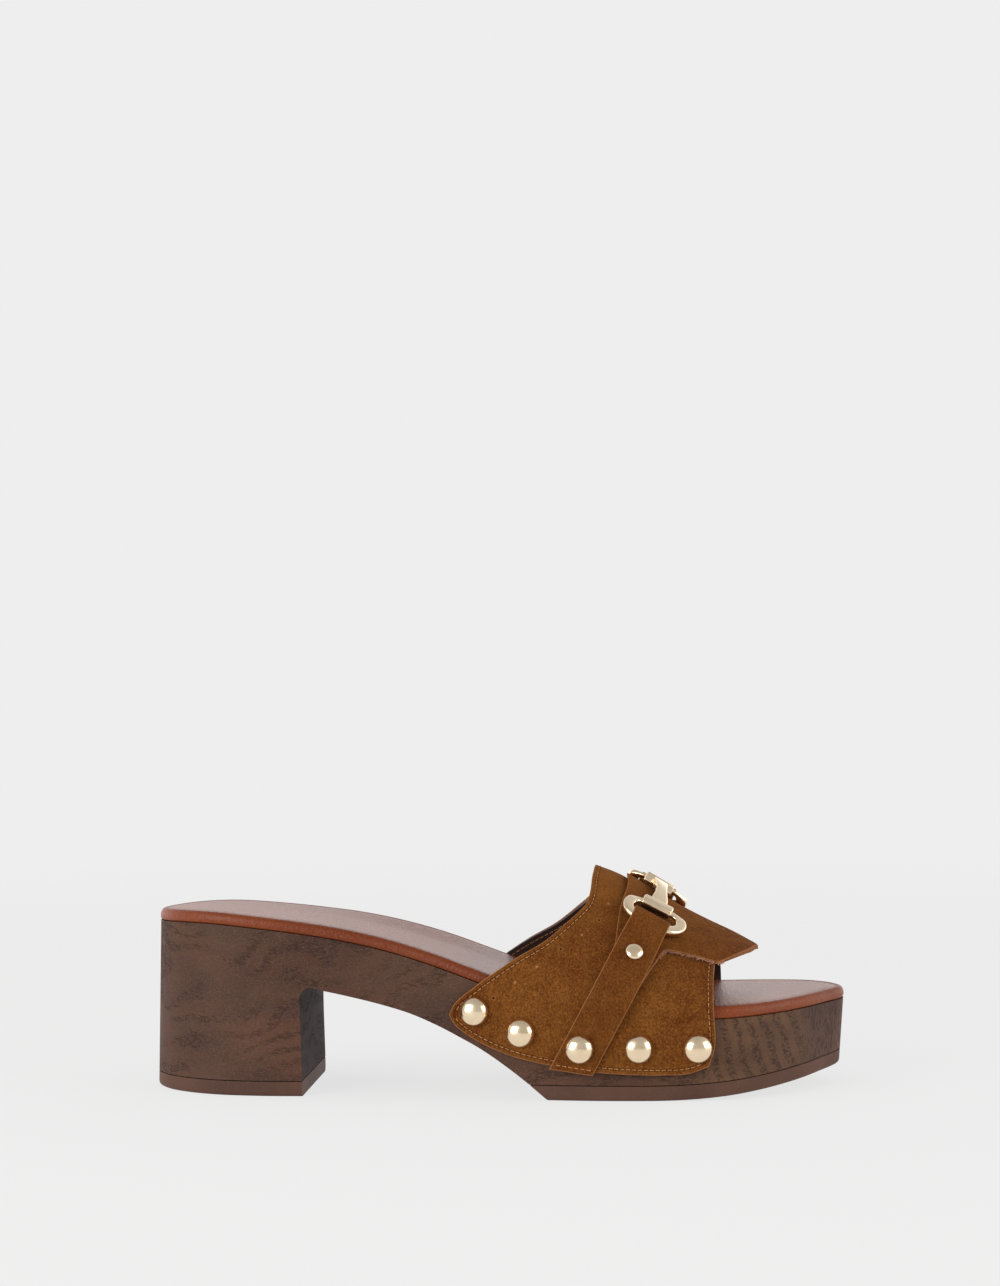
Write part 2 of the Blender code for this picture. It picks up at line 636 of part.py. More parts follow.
def build_strap(name, side, suede):
    """A strap from the sole's side to its ring, folded round the ring and laid back under itself."""
    route, walls, foot = strap_route(side)
    tangent = np.gradient(route, axis=0)
    tangent /= np.linalg.norm(tangent, axis=1)[:, None]
    normal = np.stack([tangent[:, 1], -tangent[:, 0]], 1) * walls[:, None] / 2
    ring = BAR_REACH + 2 * RING_BEND
    narrowing = 1.0 - ramp(route[:, 0], ring, ring + NARROWING_LENGTH)
    width = STRAP_WIDTH + (STRAP_TOP_WIDTH - STRAP_WIDTH) * narrowing
    across = np.linspace(-0.5, 0.5, STRAP_STEPS + 1)[None] * width[:, None]
    grids = []
    for line in (route + normal, route - normal):
        near_foot = 1.0 - ramp(foot - line[:, 0], 0.0, FOOT_SHEAR_LENGTH)
        shear = FOOT_SHEAR * across * near_foot[:, None]
        grids.append(on_instep(across, side * (line[:, :1] - shear), line[:, 1:]))
    points, faces = shell(*grids)
    smooth(put(name, mesh_of(name, points, faces), suede), 50)


def ring_lift():
    """Height of the rings' wire off the band, over the strap's end that is laid back under it."""
    layers = CLEARANCE + FLAP_WALL + CLEARANCE + STRAP_RETURN_WALL
    return layers + FOLD_CLEARANCE + WIRE_DIAMETER / 2


def build_ring(name, side, brass):
    """A long ring: two straight sides and two round ends, thinned to a pin inside its collar."""
    half = RING_STRAIGHT / 2
    straight = np.array([-1.0, -0.33, 0.33])
    turn = np.linspace(0.0, math.pi, RING_BEND_STEPS + 1)[:-1]
    pin, wire = PIN_DIAMETER / 2, WIRE_DIAMETER / 2
    across = np.concatenate([straight * half, half + RING_BEND * np.sin(turn),
                             -straight * half, -half - RING_BEND * np.sin(turn)])
    outward = np.concatenate([0 * straight - 1.0, -np.cos(turn), 0 * straight + 1.0, np.cos(turn)])
    sideways = np.concatenate([0 * straight, np.sin(turn), 0 * straight, -np.sin(turn)])
    radii = pin + (wire - pin) * ramp(outward, *PIN_ENDS)
    middle = BAR_REACH + RING_BEND
    angle = np.arange(WIRE_SIDES) * 2 * math.pi / WIRE_SIDES
    reach = radii[:, None] * np.cos(angle)
    rise = radii[:, None] * np.sin(angle)
    points = on_instep(across[:, None] + sideways[:, None] * reach,
                       side * (middle + RING_BEND * outward[:, None] + outward[:, None] * reach),
                       ring_lift() + rise)
    smooth(put(name, mesh_of(name, *lathe(points, closed=True)), brass), 60)


def build_bar(brass):
    """The bit's bar: domed and waisted, with a collar bored for a ring's pin at each end."""
    stations = [(share * BAR_REACH, wide, deep) for share, wide, deep in BAR_STATIONS]
    start = BAR_REACH - COLLAR_WIDTH / 2
    end = BAR_REACH + COLLAR_WIDTH / 2
    wide, deep = COLLAR_LENGTH / 2, COLLAR_DEPTH / 2
    stations += [(start - COLLAR_STEP, BAR_END_WIDTH / 2, BAR_DEPTH / 2), (start, wide, deep),
                 (end, wide, deep)]
    line = np.array([(-s, w, d) for s, w, d in stations[:0:-1]] + stations)
    turn = (np.arange(BAR_SIDES) + 0.5) * 2 * math.pi / BAR_SIDES
    corner = np.maximum(np.abs(np.cos(turn)), np.abs(np.sin(turn))) ** BAR_CORNER
    girdle, wide, deep = line.T[:, :, None]
    points = on_instep(wide * np.cos(turn) / corner, girdle, ring_lift() + deep * np.sin(turn) / corner)
    bar = put("bit_bar", mesh_of("bit_bar", *lathe(points)), brass)
    reach = np.linspace(-BORE_REACH, BORE_REACH, 5)[:, None] * COLLAR_LENGTH
    angle = np.arange(WIRE_SIDES) * 2 * math.pi / WIRE_SIDES
    radius = PIN_DIAMETER / 2 + CLEARANCE
    for side, label in ((-1, "outer"), (1, "inner")):
        points = on_instep(reach, side * BAR_REACH + radius * np.cos(angle),
                           ring_lift() + radius * np.sin(angle))
        name = "cut_bore_" + label
        cut(bar, put(name, mesh_of(name, *lathe(points)), None))
    smooth(bar, 40)


def dome_mesh(name, diameter, rise, brass):
    """A domed head with a flat back, its axis up."""
    turn = np.arange(STUD_SIDES) * 2 * math.pi / STUD_SIDES
    tilt = np.arange(STUD_RINGS)[:, None] * math.pi / 2 / STUD_RINGS
    radius = diameter / 2 * np.cos(tilt)
    rings = np.stack([radius * np.cos(turn), radius * np.sin(turn),
                      rise * np.sin(tilt) + 0.0 * turn], -1)
    points, faces = lathe(rings)
    top = len(points)
    rim = faces.pop()
    faces += [(a, b, top) for a, b in zip(rim, rim[1:] + rim[:1])]
    mesh = mesh_of(name, np.concatenate([points, [[0.0, 0.0, rise]]]), faces)
    mesh.materials.append(brass)
    return mesh


def seat(made, point, normal, gap):
    """Place a head on a surface point, its axis along the surface's normal."""
    normal = Vector(normal).normalized()
    turn = normal.to_track_quat("Z", "Y").to_matrix().to_4x4()
    made.matrix_world = Matrix.Translation(Vector(point) * MM + normal * gap * MM) @ turn


def build_heads(brass):
    """The domed studs that hold the band and the straps to the base, and a rivet on each strap."""
    dome = dome_mesh("stud", STUD_DIAMETER, STUD_RISE, brass)
    small = dome_mesh("strap_rivet", RIVET_DIAMETER, RIVET_RISE, brass)
    for side, label in ((-1, "outer"), (1, "inner")):
        for i, (share, height) in enumerate(STUDS):
            x = along(share)
            z = height * PLATFORM_HEIGHT
            lift = CLEARANCE + STRAP_WALL if i == STRAP_STUD else 0.0
            near = np.array([x - 1.0, x, x + 1.0])
            a, point, b = section(near, girth_at(near, z, side, lift), side, lift)
            stud = put(f"stud_{label}_{i + 1}", dome, brass)
            seat(stud, point, np.cross(b - a, (0, 0, 1.0)) * -side, SIDE_CLEARANCE)
            smooth(stud, 60)
        route, _, _ = strap_route(side)
        main = route[:np.argmax(route[:, 1]) + 1]
        middle = np.interp(RIVET_FROM_BIT, main[::-1, 0], main[::-1, 1])
        lift = middle + STRAP_WALL / 2
        girdle = side * RIVET_FROM_BIT
        point = on_instep(0.0, girdle, lift)
        step_x = on_instep(1.0, girdle, lift) - on_instep(-1.0, girdle, lift)
        step_y = on_instep(0.0, girdle + 1.0, lift) - on_instep(0.0, girdle - 1.0, lift)
        rivet = put(f"strap_rivet_{label}", small, brass)
        seat(rivet, point, np.cross(step_x, step_y), CLEARANCE)
        smooth(rivet, 60)


def build():
    """The whole shoe."""
    for old in list(bpy.data.objects):
        bpy.data.objects.remove(old)
    wood = material("wood_effect", (0.115, 0.055, 0.038), 0.45)
    rubber = material("sole_rubber", (0.130, 0.050, 0.035), 0.50)
    leather = material("insole_leather", (0.38, 0.15, 0.085), 0.40)
    suede = material("suede", (0.20, 0.075, 0.018), 0.95)
    brass = material("pale_brass", (0.83, 0.70, 0.50), 0.18, 1.0)
    build_base(wood, rubber)
    build_insole(leather)
    build_band(suede)
    build_flap(suede)
    build_strap("strap_outer", -1, suede)
    build_strap("strap_inner", 1, suede)
    build_ring("bit_ring_outer", -1, brass)
    build_ring("bit_ring_inner", 1, brass)
    build_bar(brass)
    build_heads(brass)


build()
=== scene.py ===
"""A block-heeled clog mule for the right foot: a wood-effect base, a suede band under domed
studs, a pointed flap, and two slanted straps that hold a ring-and-bar bit.

Shapes are worked out in millimetres: X from heel to toe, Y towards the inner side, Z up."""

import math

import bmesh
import bpy
import numpy as np
from mathutils import Matrix, Vector


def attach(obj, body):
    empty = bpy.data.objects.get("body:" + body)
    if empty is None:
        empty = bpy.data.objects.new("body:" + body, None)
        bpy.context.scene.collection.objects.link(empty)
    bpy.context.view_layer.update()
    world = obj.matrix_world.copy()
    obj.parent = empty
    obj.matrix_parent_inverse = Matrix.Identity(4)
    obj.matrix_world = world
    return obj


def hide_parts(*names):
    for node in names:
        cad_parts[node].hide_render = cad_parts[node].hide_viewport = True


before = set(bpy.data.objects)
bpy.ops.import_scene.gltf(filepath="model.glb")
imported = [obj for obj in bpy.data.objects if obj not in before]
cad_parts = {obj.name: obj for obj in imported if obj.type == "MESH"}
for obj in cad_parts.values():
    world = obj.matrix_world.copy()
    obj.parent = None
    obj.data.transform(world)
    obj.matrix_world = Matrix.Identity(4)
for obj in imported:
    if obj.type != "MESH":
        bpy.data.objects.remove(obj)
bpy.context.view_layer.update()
MM = 0.001


# The studio: a pale floor that fades into a pale surround, two broad upright lights to the
# left and right that show in the studs, and a camera that looks level at the outer side.


class Wire:
    """An output in a finish. Sums and products of wires and numbers add Math nodes."""

    def __init__(self, finish, socket):
        self.finish = finish
        self.socket = socket

    def maths(self, operation, *rest):
        values = dict(enumerate((self, *rest)))
        return self.finish.add("Math", {"operation": operation}, values)

    def __add__(self, other):
        return self.maths("ADD", other)

    def __mul__(self, other):
        return self.maths("MULTIPLY", other)

    def __sub__(self, other):
        return self.maths("SUBTRACT", other)

    def __rsub__(self, other):
        return self.finish.add("Math", {"operation": "SUBTRACT"}, {0: other, 1: self})

    __radd__ = __add__
    __rmul__ = __mul__

    def step(self, start, end):
        """Smooth step from 0 at start to 1 at end."""
        return self.finish.add("MapRange", {"interpolation_type": "SMOOTHSTEP"},
                               {"Value": self, "From Min": start, "From Max": end})


class Finish:
    """A finish being mixed: its node tree, and the shader that it ends in."""

    def __init__(self, owner):
        owner.use_nodes = True
        self.owner = owner
        self.tree = owner.node_tree
        self.shader = self.tree.nodes.get("Principled BSDF") or self.tree.nodes.get("Background")

    def add(self, kind, settings=None, values=None, output=0):
        """A node of a kind, its settings made first, then its sockets' values or links."""
        made = self.tree.nodes.new("ShaderNode" + kind)
        for name, value in (settings or {}).items():
            if name == "stops":
                self.stops(made.color_ramp.elements, value)
            else:
                setattr(made, name, value)
        for name, value in (values or {}).items():
            self.join(made.inputs[name], value)
        return Wire(self, made.outputs[output])

    def stops(self, elements, rows):
        for place, colour in rows[len(elements):]:
            elements.new(place)
        for element, (place, colour) in zip(elements, rows):
            element.position = place
            element.color = (*colour, 1.0)

    def join(self, socket, value):
        if isinstance(value, Wire):
            self.tree.links.new(value.socket, socket)
        elif socket.type == "RGBA" and len(value) == 3:
            socket.default_value = (*value, 1.0)
        else:
            socket.default_value = value

    def set(self, **values):
        """Set or link the shader's sockets, named with underscores for their blanks."""
        for name, value in values.items():
            self.join(self.shader.inputs[name.replace("_", " ")], value)
        return self.owner

    def place(self, stretch=(1.0, 1.0, 1.0)):
        """Object coordinates, each axis multiplied by its stretch."""
        here = self.add("TexCoord", output="Object")
        return self.add("VectorMath", {"operation": "MULTIPLY"}, {0: here, 1: stretch})

    def noise(self, scale, detail=3.0, stretch=(1.0, 1.0, 1.0), roughness=0.5):
        """Cloudy noise between about 0.2 and 0.8, scale lumps to the metre."""
        return self.add("TexNoise", {"noise_dimensions": "3D"},
                        {"Vector": self.place(stretch), "Scale": scale, "Detail": detail,
                         "Roughness": roughness})

    def axis(self, number):
        """One object coordinate in metres: 0 along the shoe, 1 across it, 2 up."""
        return self.add("SeparateXYZ", None, {0: self.place()}, number)

    def facing(self, number):
        """One part of the surface's normal, numbered as the axes are."""
        return self.add("SeparateXYZ", None, {0: self.add("NewGeometry", output="Normal")}, number)

    def distance(self, point):
        """Distance from a point, both in metres."""
        return self.add("VectorMath", {"operation": "DISTANCE"}, {0: self.place(), 1: point}, 1)

    def mix(self, share, first, second):
        """Colours blended by a share."""
        return self.add("Mix", {"data_type": "RGBA"}, {0: share, 6: first, 7: second}, 2)

    def layers(self, colour, rows):
        """A colour with others laid over it in turn: each row is a share and a screen colour."""
        for share, red, green, blue in rows:
            colour = self.mix(share, colour, linear(red, green, blue))
        return colour

    def bump(self, height, depth):
        """A normal from a height, depth in metres for a height of 1."""
        return self.add("Bump", None, {"Height": height, "Strength": 1.0, "Distance": depth})


def finish_named(name):
    """A new material to be mixed."""
    return Finish(bpy.data.materials.new(name))


def linear(red, green, blue):
    """A colour of the screen, 0 to 255, as the light it gives."""
    values = np.array((red, green, blue)) / 255.0
    return tuple(np.where(values < 0.04045, values / 12.92, ((values + 0.055) / 1.055) ** 2.4))


PALE = linear(238, 238, 238)
bpy.context.scene.view_settings.view_transform = "Standard"
world = bpy.data.worlds.new("surround")
bpy.context.scene.world = world
air = Finish(world)
heading = air.add("TexCoord", output="Generated")
upward = air.add("SeparateXYZ", None, {0: heading}, 2)
backward = air.add("SeparateXYZ", None, {0: heading}, 1)
dome = air.add("ValToRGB", {"stops": ((0.0, (0.84, 0.83, 0.82)), (0.488, (0.84, 0.83, 0.82)),
                                      (0.496, (0.16, 0.15, 0.14)), (0.503, (0.20, 0.19, 0.18)),
                                      (0.520, (0.52, 0.52, 0.51)), (0.75, (0.53, 0.53, 0.53)),
                                      (1.0, (0.46, 0.46, 0.46)))}, {0: upward * 0.5 + 0.5})
wall_behind = air.add("ValToRGB", {"stops": ((0.0, (1.94, 1.78, 1.74)), (0.24, (1.58, 1.46, 1.43)),
                                             (0.45, (0.80, 0.80, 0.81)), (1.0, (0.52, 0.52, 0.53)))},
                      {0: upward})
sky = air.mix(backward.step(-0.05, 0.35), dome, wall_behind)
seen = air.add("LightPath", output="Is Camera Ray")
air.set(Color=air.mix(seen, sky, PALE), Strength=1.0)

spokes = np.linspace(0.0, 2 * math.pi, 97)
radii = np.concatenate([[0.0], np.geomspace(40.0, 1400.0, 30)])
floor_points = np.stack([radii[:, None] * np.cos(spokes), radii[:, None] * np.sin(spokes),
                         0.0 * radii[:, None] * spokes], -1)


def mesh_of(name, grids, finishes, rim=None, crease=40.0, recalculate=True):
    """One piece from grids of points in millimetres, its doubles merged and its faces turned
    outwards. Each grid names its finish's number, and rim is its distance to an edge."""
    points, faces, kinds, rims = [], [], [], []
    count = 0
    for number, (grid, kind) in enumerate(grids):
        rows, columns = grid.shape[:2]
        index = np.arange(rows * columns).reshape(rows, columns) + count
        quads = np.stack([index[:-1, :-1], index[:-1, 1:], index[1:, 1:], index[1:, :-1]], -1)
        points.append(grid.reshape(-1, 3))
        faces.append(quads.reshape(-1, 4))
        kinds.append(np.full(len(faces[-1]), kind))
        rims.append(np.zeros(rows * columns) if rim is None else rim[number].reshape(-1))
        count += rows * columns
    points = np.concatenate(points) * MM
    mesh = bpy.data.meshes.new(name)
    mesh.from_pydata(points.tolist(), [], np.concatenate(faces).tolist())
    mesh.polygons.foreach_set("material_index", np.concatenate(kinds).astype(np.int32))
    if rim is not None:
        layer = mesh.attributes.new("rim", "FLOAT", "POINT")
        layer.data.foreach_set("value", np.concatenate(rims).astype(np.float32))
    shape = bmesh.new()
    shape.from_mesh(mesh)
    bmesh.ops.remove_doubles(shape, verts=shape.verts, dist=2e-6)
    bmesh.ops.dissolve_degenerate(shape, edges=shape.edges, dist=1e-6)
    if recalculate:
        bmesh.ops.recalc_face_normals(shape, faces=shape.faces)
    shape.to_mesh(mesh)
    shape.free()
    for finish in finishes:
        mesh.materials.append(finish)
    made = bpy.data.objects.new(name, mesh)
    bpy.context.scene.collection.objects.link(made)
    mesh.shade_smooth()
    mesh.set_sharp_from_angle(angle=math.radians(crease))
    return made


paper = finish_named("floor_paper")
ground = paper.add("VectorMath", {"operation": "LENGTH"}, {0: paper.place()}, 1)
grain = paper.noise(900.0)
floor_paper = paper.set(Base_Color=paper.mix(grain, (0.13, 0.13, 0.13), (0.14, 0.14, 0.14)),
                        Roughness=1.0, Specular_IOR_Level=0.0, Emission_Color=(1.0, 1.0, 1.0),
                        Emission_Strength=0.725, Alpha=1.0 - ground.step(0.32, 1.2))
studio_floor = mesh_of("studio_floor", [(floor_points, 0)], [floor_paper], recalculate=False)


def soft_light(name, place, target, size, power, colour):
    """A square light at a place, turned towards its target, in metres."""
    light = bpy.data.lights.new(name, "AREA")
    light.shape = "RECTANGLE"
    light.size, light.size_y = size
    light.energy = power
    light.color = colour
    made = bpy.data.objects.new(name, light)
    aim = Vector(target) - Vector(place)
    made.matrix_world = Matrix.Translation(place) @ aim.to_track_quat("-Z", "Y").to_matrix().to_4x4()
    bpy.context.scene.collection.objects.link(made)


soft_light("left_light", (-0.84, -0.80, 0.38), (0.0, 0.0, 0.03), (0.92, 0.70), 10.0, (1.0, 0.985, 0.96))
soft_light("right_light", (1.06, -0.36, 0.37), (0.0, 0.0, 0.03), (0.90, 0.66), 6.0, (1.0, 0.99, 0.98))

# Camera: distance, height and sideways place in metres, turn and roll in degrees, focal length
# in pixels of the photograph's 1286 rows.
CAMERA_DISTANCE = 1.086
CAMERA_HEIGHT = 0.1584
CAMERA_SIDE = 0.0011
CAMERA_TURN = math.radians(4.4)
CAMERA_ROLL = math.radians(0.6)
FOCAL_ROWS = 3019.0
PICTURE_ROWS = 1286.0
CENTRE_SHIFT = 2.2
lens = bpy.data.cameras.new("camera")
lens.sensor_fit = "VERTICAL"
lens.sensor_height = 36.0
lens.lens = FOCAL_ROWS / PICTURE_ROWS * lens.sensor_height
lens.shift_x = CENTRE_SHIFT / PICTURE_ROWS
camera = bpy.data.objects.new("camera", lens)
level = Vector((math.cos(CAMERA_TURN), math.sin(CAMERA_TURN), 0.0))
ahead = Vector((-math.sin(CAMERA_TURN), math.cos(CAMERA_TURN), 0.0))
upright = Vector((0.0, 0.0, 1.0))
across_picture = level * math.cos(CAMERA_ROLL) - upright * math.sin(CAMERA_ROLL)
up_picture = upright * math.cos(CAMERA_ROLL) + level * math.sin(CAMERA_ROLL)
facing = Matrix((across_picture, up_picture, -ahead)).transposed().to_4x4()
stand = upright * CAMERA_HEIGHT - ahead * CAMERA_DISTANCE + Vector((CAMERA_SIDE, 0.0, 0.0))
camera.matrix_world = Matrix.Translation(stand) @ facing
bpy.context.scene.collection.objects.link(camera)
bpy.context.scene.camera = camera


# The base: a moulded block in one piece with its heel, its side wrapped in a dark stained
# wood effect with short open pores. The arch is cut away under the waist.

SHOE_LENGTH = 247.0
BALL_HALF_WIDTH = 43.5
HEEL_HEIGHT = 60.0
PLATFORM_HEIGHT = 28.2
OUTSOLE_THICKNESS = 5.2
TOP_PIECE_THICKNESS = 5.2
TOE_SPRING = 6.2
HEEL_LENGTH = 56.0
BREAST_RADIUS = 4.0
BREAST_FLARE = 0.6
SHANK_THICKNESS = 19.0
HEEL_FLARE = 1.3
TOE_TAPER = 2.3
ARCH_RISE = 1.5
SEAM_GAP = 0.3
HEEL_FOOT_START = 1.4
SIDE_ROWS = 34
UNDER_RUNGS = 16
SIDE_HEIGHT_WEIGHT = 0.45
ABOVE_ALL = 999.0

# The toe spring: the share of the length where it starts, its span and its power
SPRING_START = 0.727
SPRING_SPAN = 0.26
SPRING_POWER = 1.7

# Columns: share of the length from the heel's back, share of the ball's half width
OUTER_EDGE = ((0.028, 0.322), (0.059, 0.494), (0.108, 0.644), (0.168, 0.713), (0.257, 0.736),
              (0.367, 0.770), (0.464, 0.851), (0.565, 0.943), (0.662, 1.000), (0.743, 1.005),
              (0.796, 0.995), (0.845, 0.931), (0.885, 0.800), (0.926, 0.590), (0.950, 0.425),
              (0.972, 0.225))
INNER_EDGE = ((0.028, 0.322), (0.059, 0.494), (0.108, 0.632), (0.168, 0.701), (0.257, 0.701),
              (0.367, 0.667), (0.464, 0.701), (0.565, 0.816), (0.662, 0.943), (0.743, 1.000),
              (0.820, 0.992), (0.885, 0.900), (0.938, 0.740), (0.970, 0.560), (0.990, 0.370))
TOE_TIP_SHARE = 0.12

# Columns: share of the length, rise of the base's top from the platform to the heel height
TOP_LINE = ((0.000, 0.985), (0.051, 1.006), (0.096, 1.004), (0.159, 0.962), (0.229, 0.896),
            (0.293, 0.815), (0.353, 0.708), (0.422, 0.548), (0.474, 0.405), (0.525, 0.265),
            (0.585, 0.135), (0.646, 0.050), (0.707, 0.013), (0.768, 0.000), (0.820, 0.000),
            (0.869, 0.013), (0.909, 0.028), (0.950, 0.047), (1.000, 0.066))

# Columns: share of the length, depth of the arch under the top line in shank thicknesses
UNDER_LINE = ((0.260, 0.974), (0.299, 0.990), (0.351, 1.000), (0.386, 1.010), (0.421, 1.053),
              (0.455, 1.116), (0.485, 1.185), (0.512, 1.285), (0.552, 1.505), (0.573, 1.658),
              (0.594, 1.850))


def along(share):
    """Distance from the middle of the shoe at a share of its length from the heel's back."""
    return (np.asarray(share) - 0.5) * SHOE_LENGTH


def ramp(value, start, end):
    """Smooth step: 0 up to start, 1 from end on."""
    t = np.clip((value - start) / (end - start), 0.0, 1.0)
    return t * t * (3.0 - 2.0 * t)


def curve(rows, at):
    """Cubic line through the rows of a table, each row's slope taken from its neighbours."""
    xs, ys = np.asarray(rows, float).T
    slopes = np.gradient(ys, xs)
    at = np.clip(at, xs[0], xs[-1])
    i = np.clip(np.searchsorted(xs, at) - 1, 0, len(xs) - 2)
    span = xs[i + 1] - xs[i]
    t = (at - xs[i]) / span
    start = (1.0 + 2.0 * t) * (1.0 - t) ** 2 * ys[i] + t * (1.0 - t) ** 2 * span * slopes[i]
    end = t * t * (3.0 - 2.0 * t) * ys[i + 1] - t * t * (1.0 - t) * span * slopes[i + 1]
    return start + end


def unit(vectors):
    """Vectors made one long."""
    return vectors / np.linalg.norm(vectors, axis=-1, keepdims=True)


def lengths_along(points):
    """Distance along a line from its first point to each of its points."""
    return np.concatenate([[0.0], np.cumsum(np.linalg.norm(np.diff(points, axis=0), axis=1))])


def path(points, count):
    """Evenly spaced points on the smooth line through the given points."""
    points = np.asarray(points, float)
    length = lengths_along(points)
    at = np.linspace(0.0, length[-1], count)
    return np.stack([curve(np.stack([length, column], 1), at) for column in points.T], 1)


def edge_loop(steps):
    """The base's top outline from above, anticlockwise from the heel along the outer side."""
    heel = (along(HEEL_FLARE / SHOE_LENGTH), 0.0)
    toe = (along(1.0), TOE_TIP_SHARE * BALL_HALF_WIDTH)
    outer = [(along(a), -w * BALL_HALF_WIDTH) for a, w in OUTER_EDGE]
    inner = [(along(a), w * BALL_HALF_WIDTH) for a, w in INNER_EDGE]
    to_toe = path([*inner[:2][::-1], heel, *outer, toe, *inner[-2:][::-1]], 40 * steps)
    to_heel = path([*outer[-2:], toe, *inner[::-1], heel, *outer[:2]], 40 * steps)
    halves = []
    for line, start, end in ((to_toe, heel, toe), (to_heel, toe, heel)):
        first = np.argmin(np.linalg.norm(line - start, axis=1))
        last = np.argmin(np.linalg.norm(line - end, axis=1))
        halves.append(path(line[first:last + 1:10], steps + 1)[:-1])
    halves[0][0] = heel
    halves[1][0] = toe
    return np.concatenate(halves)


def inset(loop, distance):
    """Each point of a loop moved inwards along the loop's normal."""
    tangent = unit(np.roll(loop, -1, 0) - np.roll(loop, 1, 0))
    normal = np.stack([tangent[:, 1], -tangent[:, 0]], 1)
    return loop - normal * np.reshape(distance, (-1, 1))


FINE = 600
FINE_EDGE = edge_loop(FINE)


def half_width(x, side):
    """Distance from the middle line to the base's top edge, side -1 outer and 1 inner."""
    half = FINE_EDGE[:FINE + 1] if side < 0 else FINE_EDGE[FINE:][::-1]
    return np.interp(x, half[:, 0], np.abs(half[:, 1]))


def flare(x):
    """How far the base's foot stands outside its top edge: out at the heel, in at the toe."""
    share = x / SHOE_LENGTH + 0.5
    return HEEL_FLARE * (1.0 - ramp(share, 0.15, 0.40)) - TOE_TAPER * ramp(share, 0.60, 1.0)


def top_height(x, y):
    """Height of the base's top, with the inner side raised under the arch of the foot."""
    share = x / SHOE_LENGTH + 0.5
    rise = curve(TOP_LINE, share) * (HEEL_HEIGHT - PLATFORM_HEIGHT)
    arch = np.exp(-((share - 0.40) / 0.15) ** 2) * ramp(y / BALL_HALF_WIDTH, 0.1, 0.7)
    return PLATFORM_HEIGHT + rise + ARCH_RISE * arch


def floor_height(x):
    """Height of the sole's underside: flat under the ball, rising to the toe spring."""
    t = np.maximum((x / SHOE_LENGTH + 0.5 - SPRING_START) / SPRING_SPAN, 0.0)
    return TOE_SPRING * t ** SPRING_POWER


def side_point(s, z, side, inward=0.0):
    """A point of the base's side: s runs along the top outline from heel to toe, and below its
    top the side leans out or in by the flare. Inward moves it square to the outline."""
    normals = inset(FINE_EDGE, np.full(2 * FINE, -1.0)) - FINE_EDGE
    if side < 0:
        loop, turned = FINE_EDGE[:FINE + 1], normals[:FINE + 1]
    else:
        loop = np.concatenate([FINE_EDGE[FINE:], FINE_EDGE[:1]])[::-1]
        turned = np.concatenate([normals[FINE:], normals[:1]])[::-1]
    index = np.linspace(0.0, 1.0, FINE + 1)
    x, y = np.interp(s, index, loop[:, 0]), np.interp(s, index, loop[:, 1])
    out_x, out_y = np.interp(s, index, turned[:, 0]), np.interp(s, index, turned[:, 1])
    top = top_height(x, y)
    lean = flare(x) * np.clip(1.0 - z / top, 0.0, 1.0) - inward
    return np.stack([x + out_x * lean, y + out_y * lean, z], -1)


def share_at(x, side):
    """Where along a side's outline a station lies."""
    half = FINE_EDGE[:FINE + 1, 0] if side < 0 else FINE_EDGE[FINE:, 0][::-1]
    return np.interp(x, half, np.linspace(0.0, 1.0, len(half)))


def under_path(heel_seam, sole_seam):
    """The lower edge from heel to toe as stations and heights: along the heel's foot, up its
    breast, round the corner, down the arch and along the sole."""
    breast = along(0.0) + HEEL_LENGTH
    shares = np.linspace(UNDER_LINE[0][0], UNDER_LINE[-1][0], 80)
    x = along(shares)
    z = top_height(x, 0.0) - SHANK_THICKNESS * curve(UNDER_LINE, shares)
    turn = np.linspace(math.pi, math.pi / 2, 12)
    corner = top_height(breast, 0.0) - SHANK_THICKNESS * UNDER_LINE[0][1] - BREAST_RADIUS
    keep = (x > breast + BREAST_RADIUS + 2.0) & (z > sole_seam)
    meet = np.interp(-sole_seam, -z, x)
    heel_span = HEEL_LENGTH + BREAST_FLARE - HEEL_FOOT_START
    heel_x = along(0.0) + HEEL_FOOT_START + heel_span * np.linspace(0.0, 1.0, 50) ** 1.5
    rise = np.linspace(0.0, 1.0, 40)[1:]
    toe = np.linspace(0.0, 1.0, 90)[1:]
    toe_x = meet + (along(1.0) - meet) * (1.0 - (1.0 - toe) ** 1.5)
    xs = [heel_x, breast + BREAST_FLARE * (1.0 - rise),
          breast + BREAST_RADIUS * (1.0 + np.cos(turn[1:])), x[keep], [meet], toe_x]
    zs = [np.full(50, heel_seam), heel_seam + (corner - heel_seam) * rise,
          corner + BREAST_RADIUS * np.sin(turn[1:]), z[keep], [sole_seam],
          floor_height(toe_x) + sole_seam]
    return np.concatenate(xs), np.concatenate(zs)


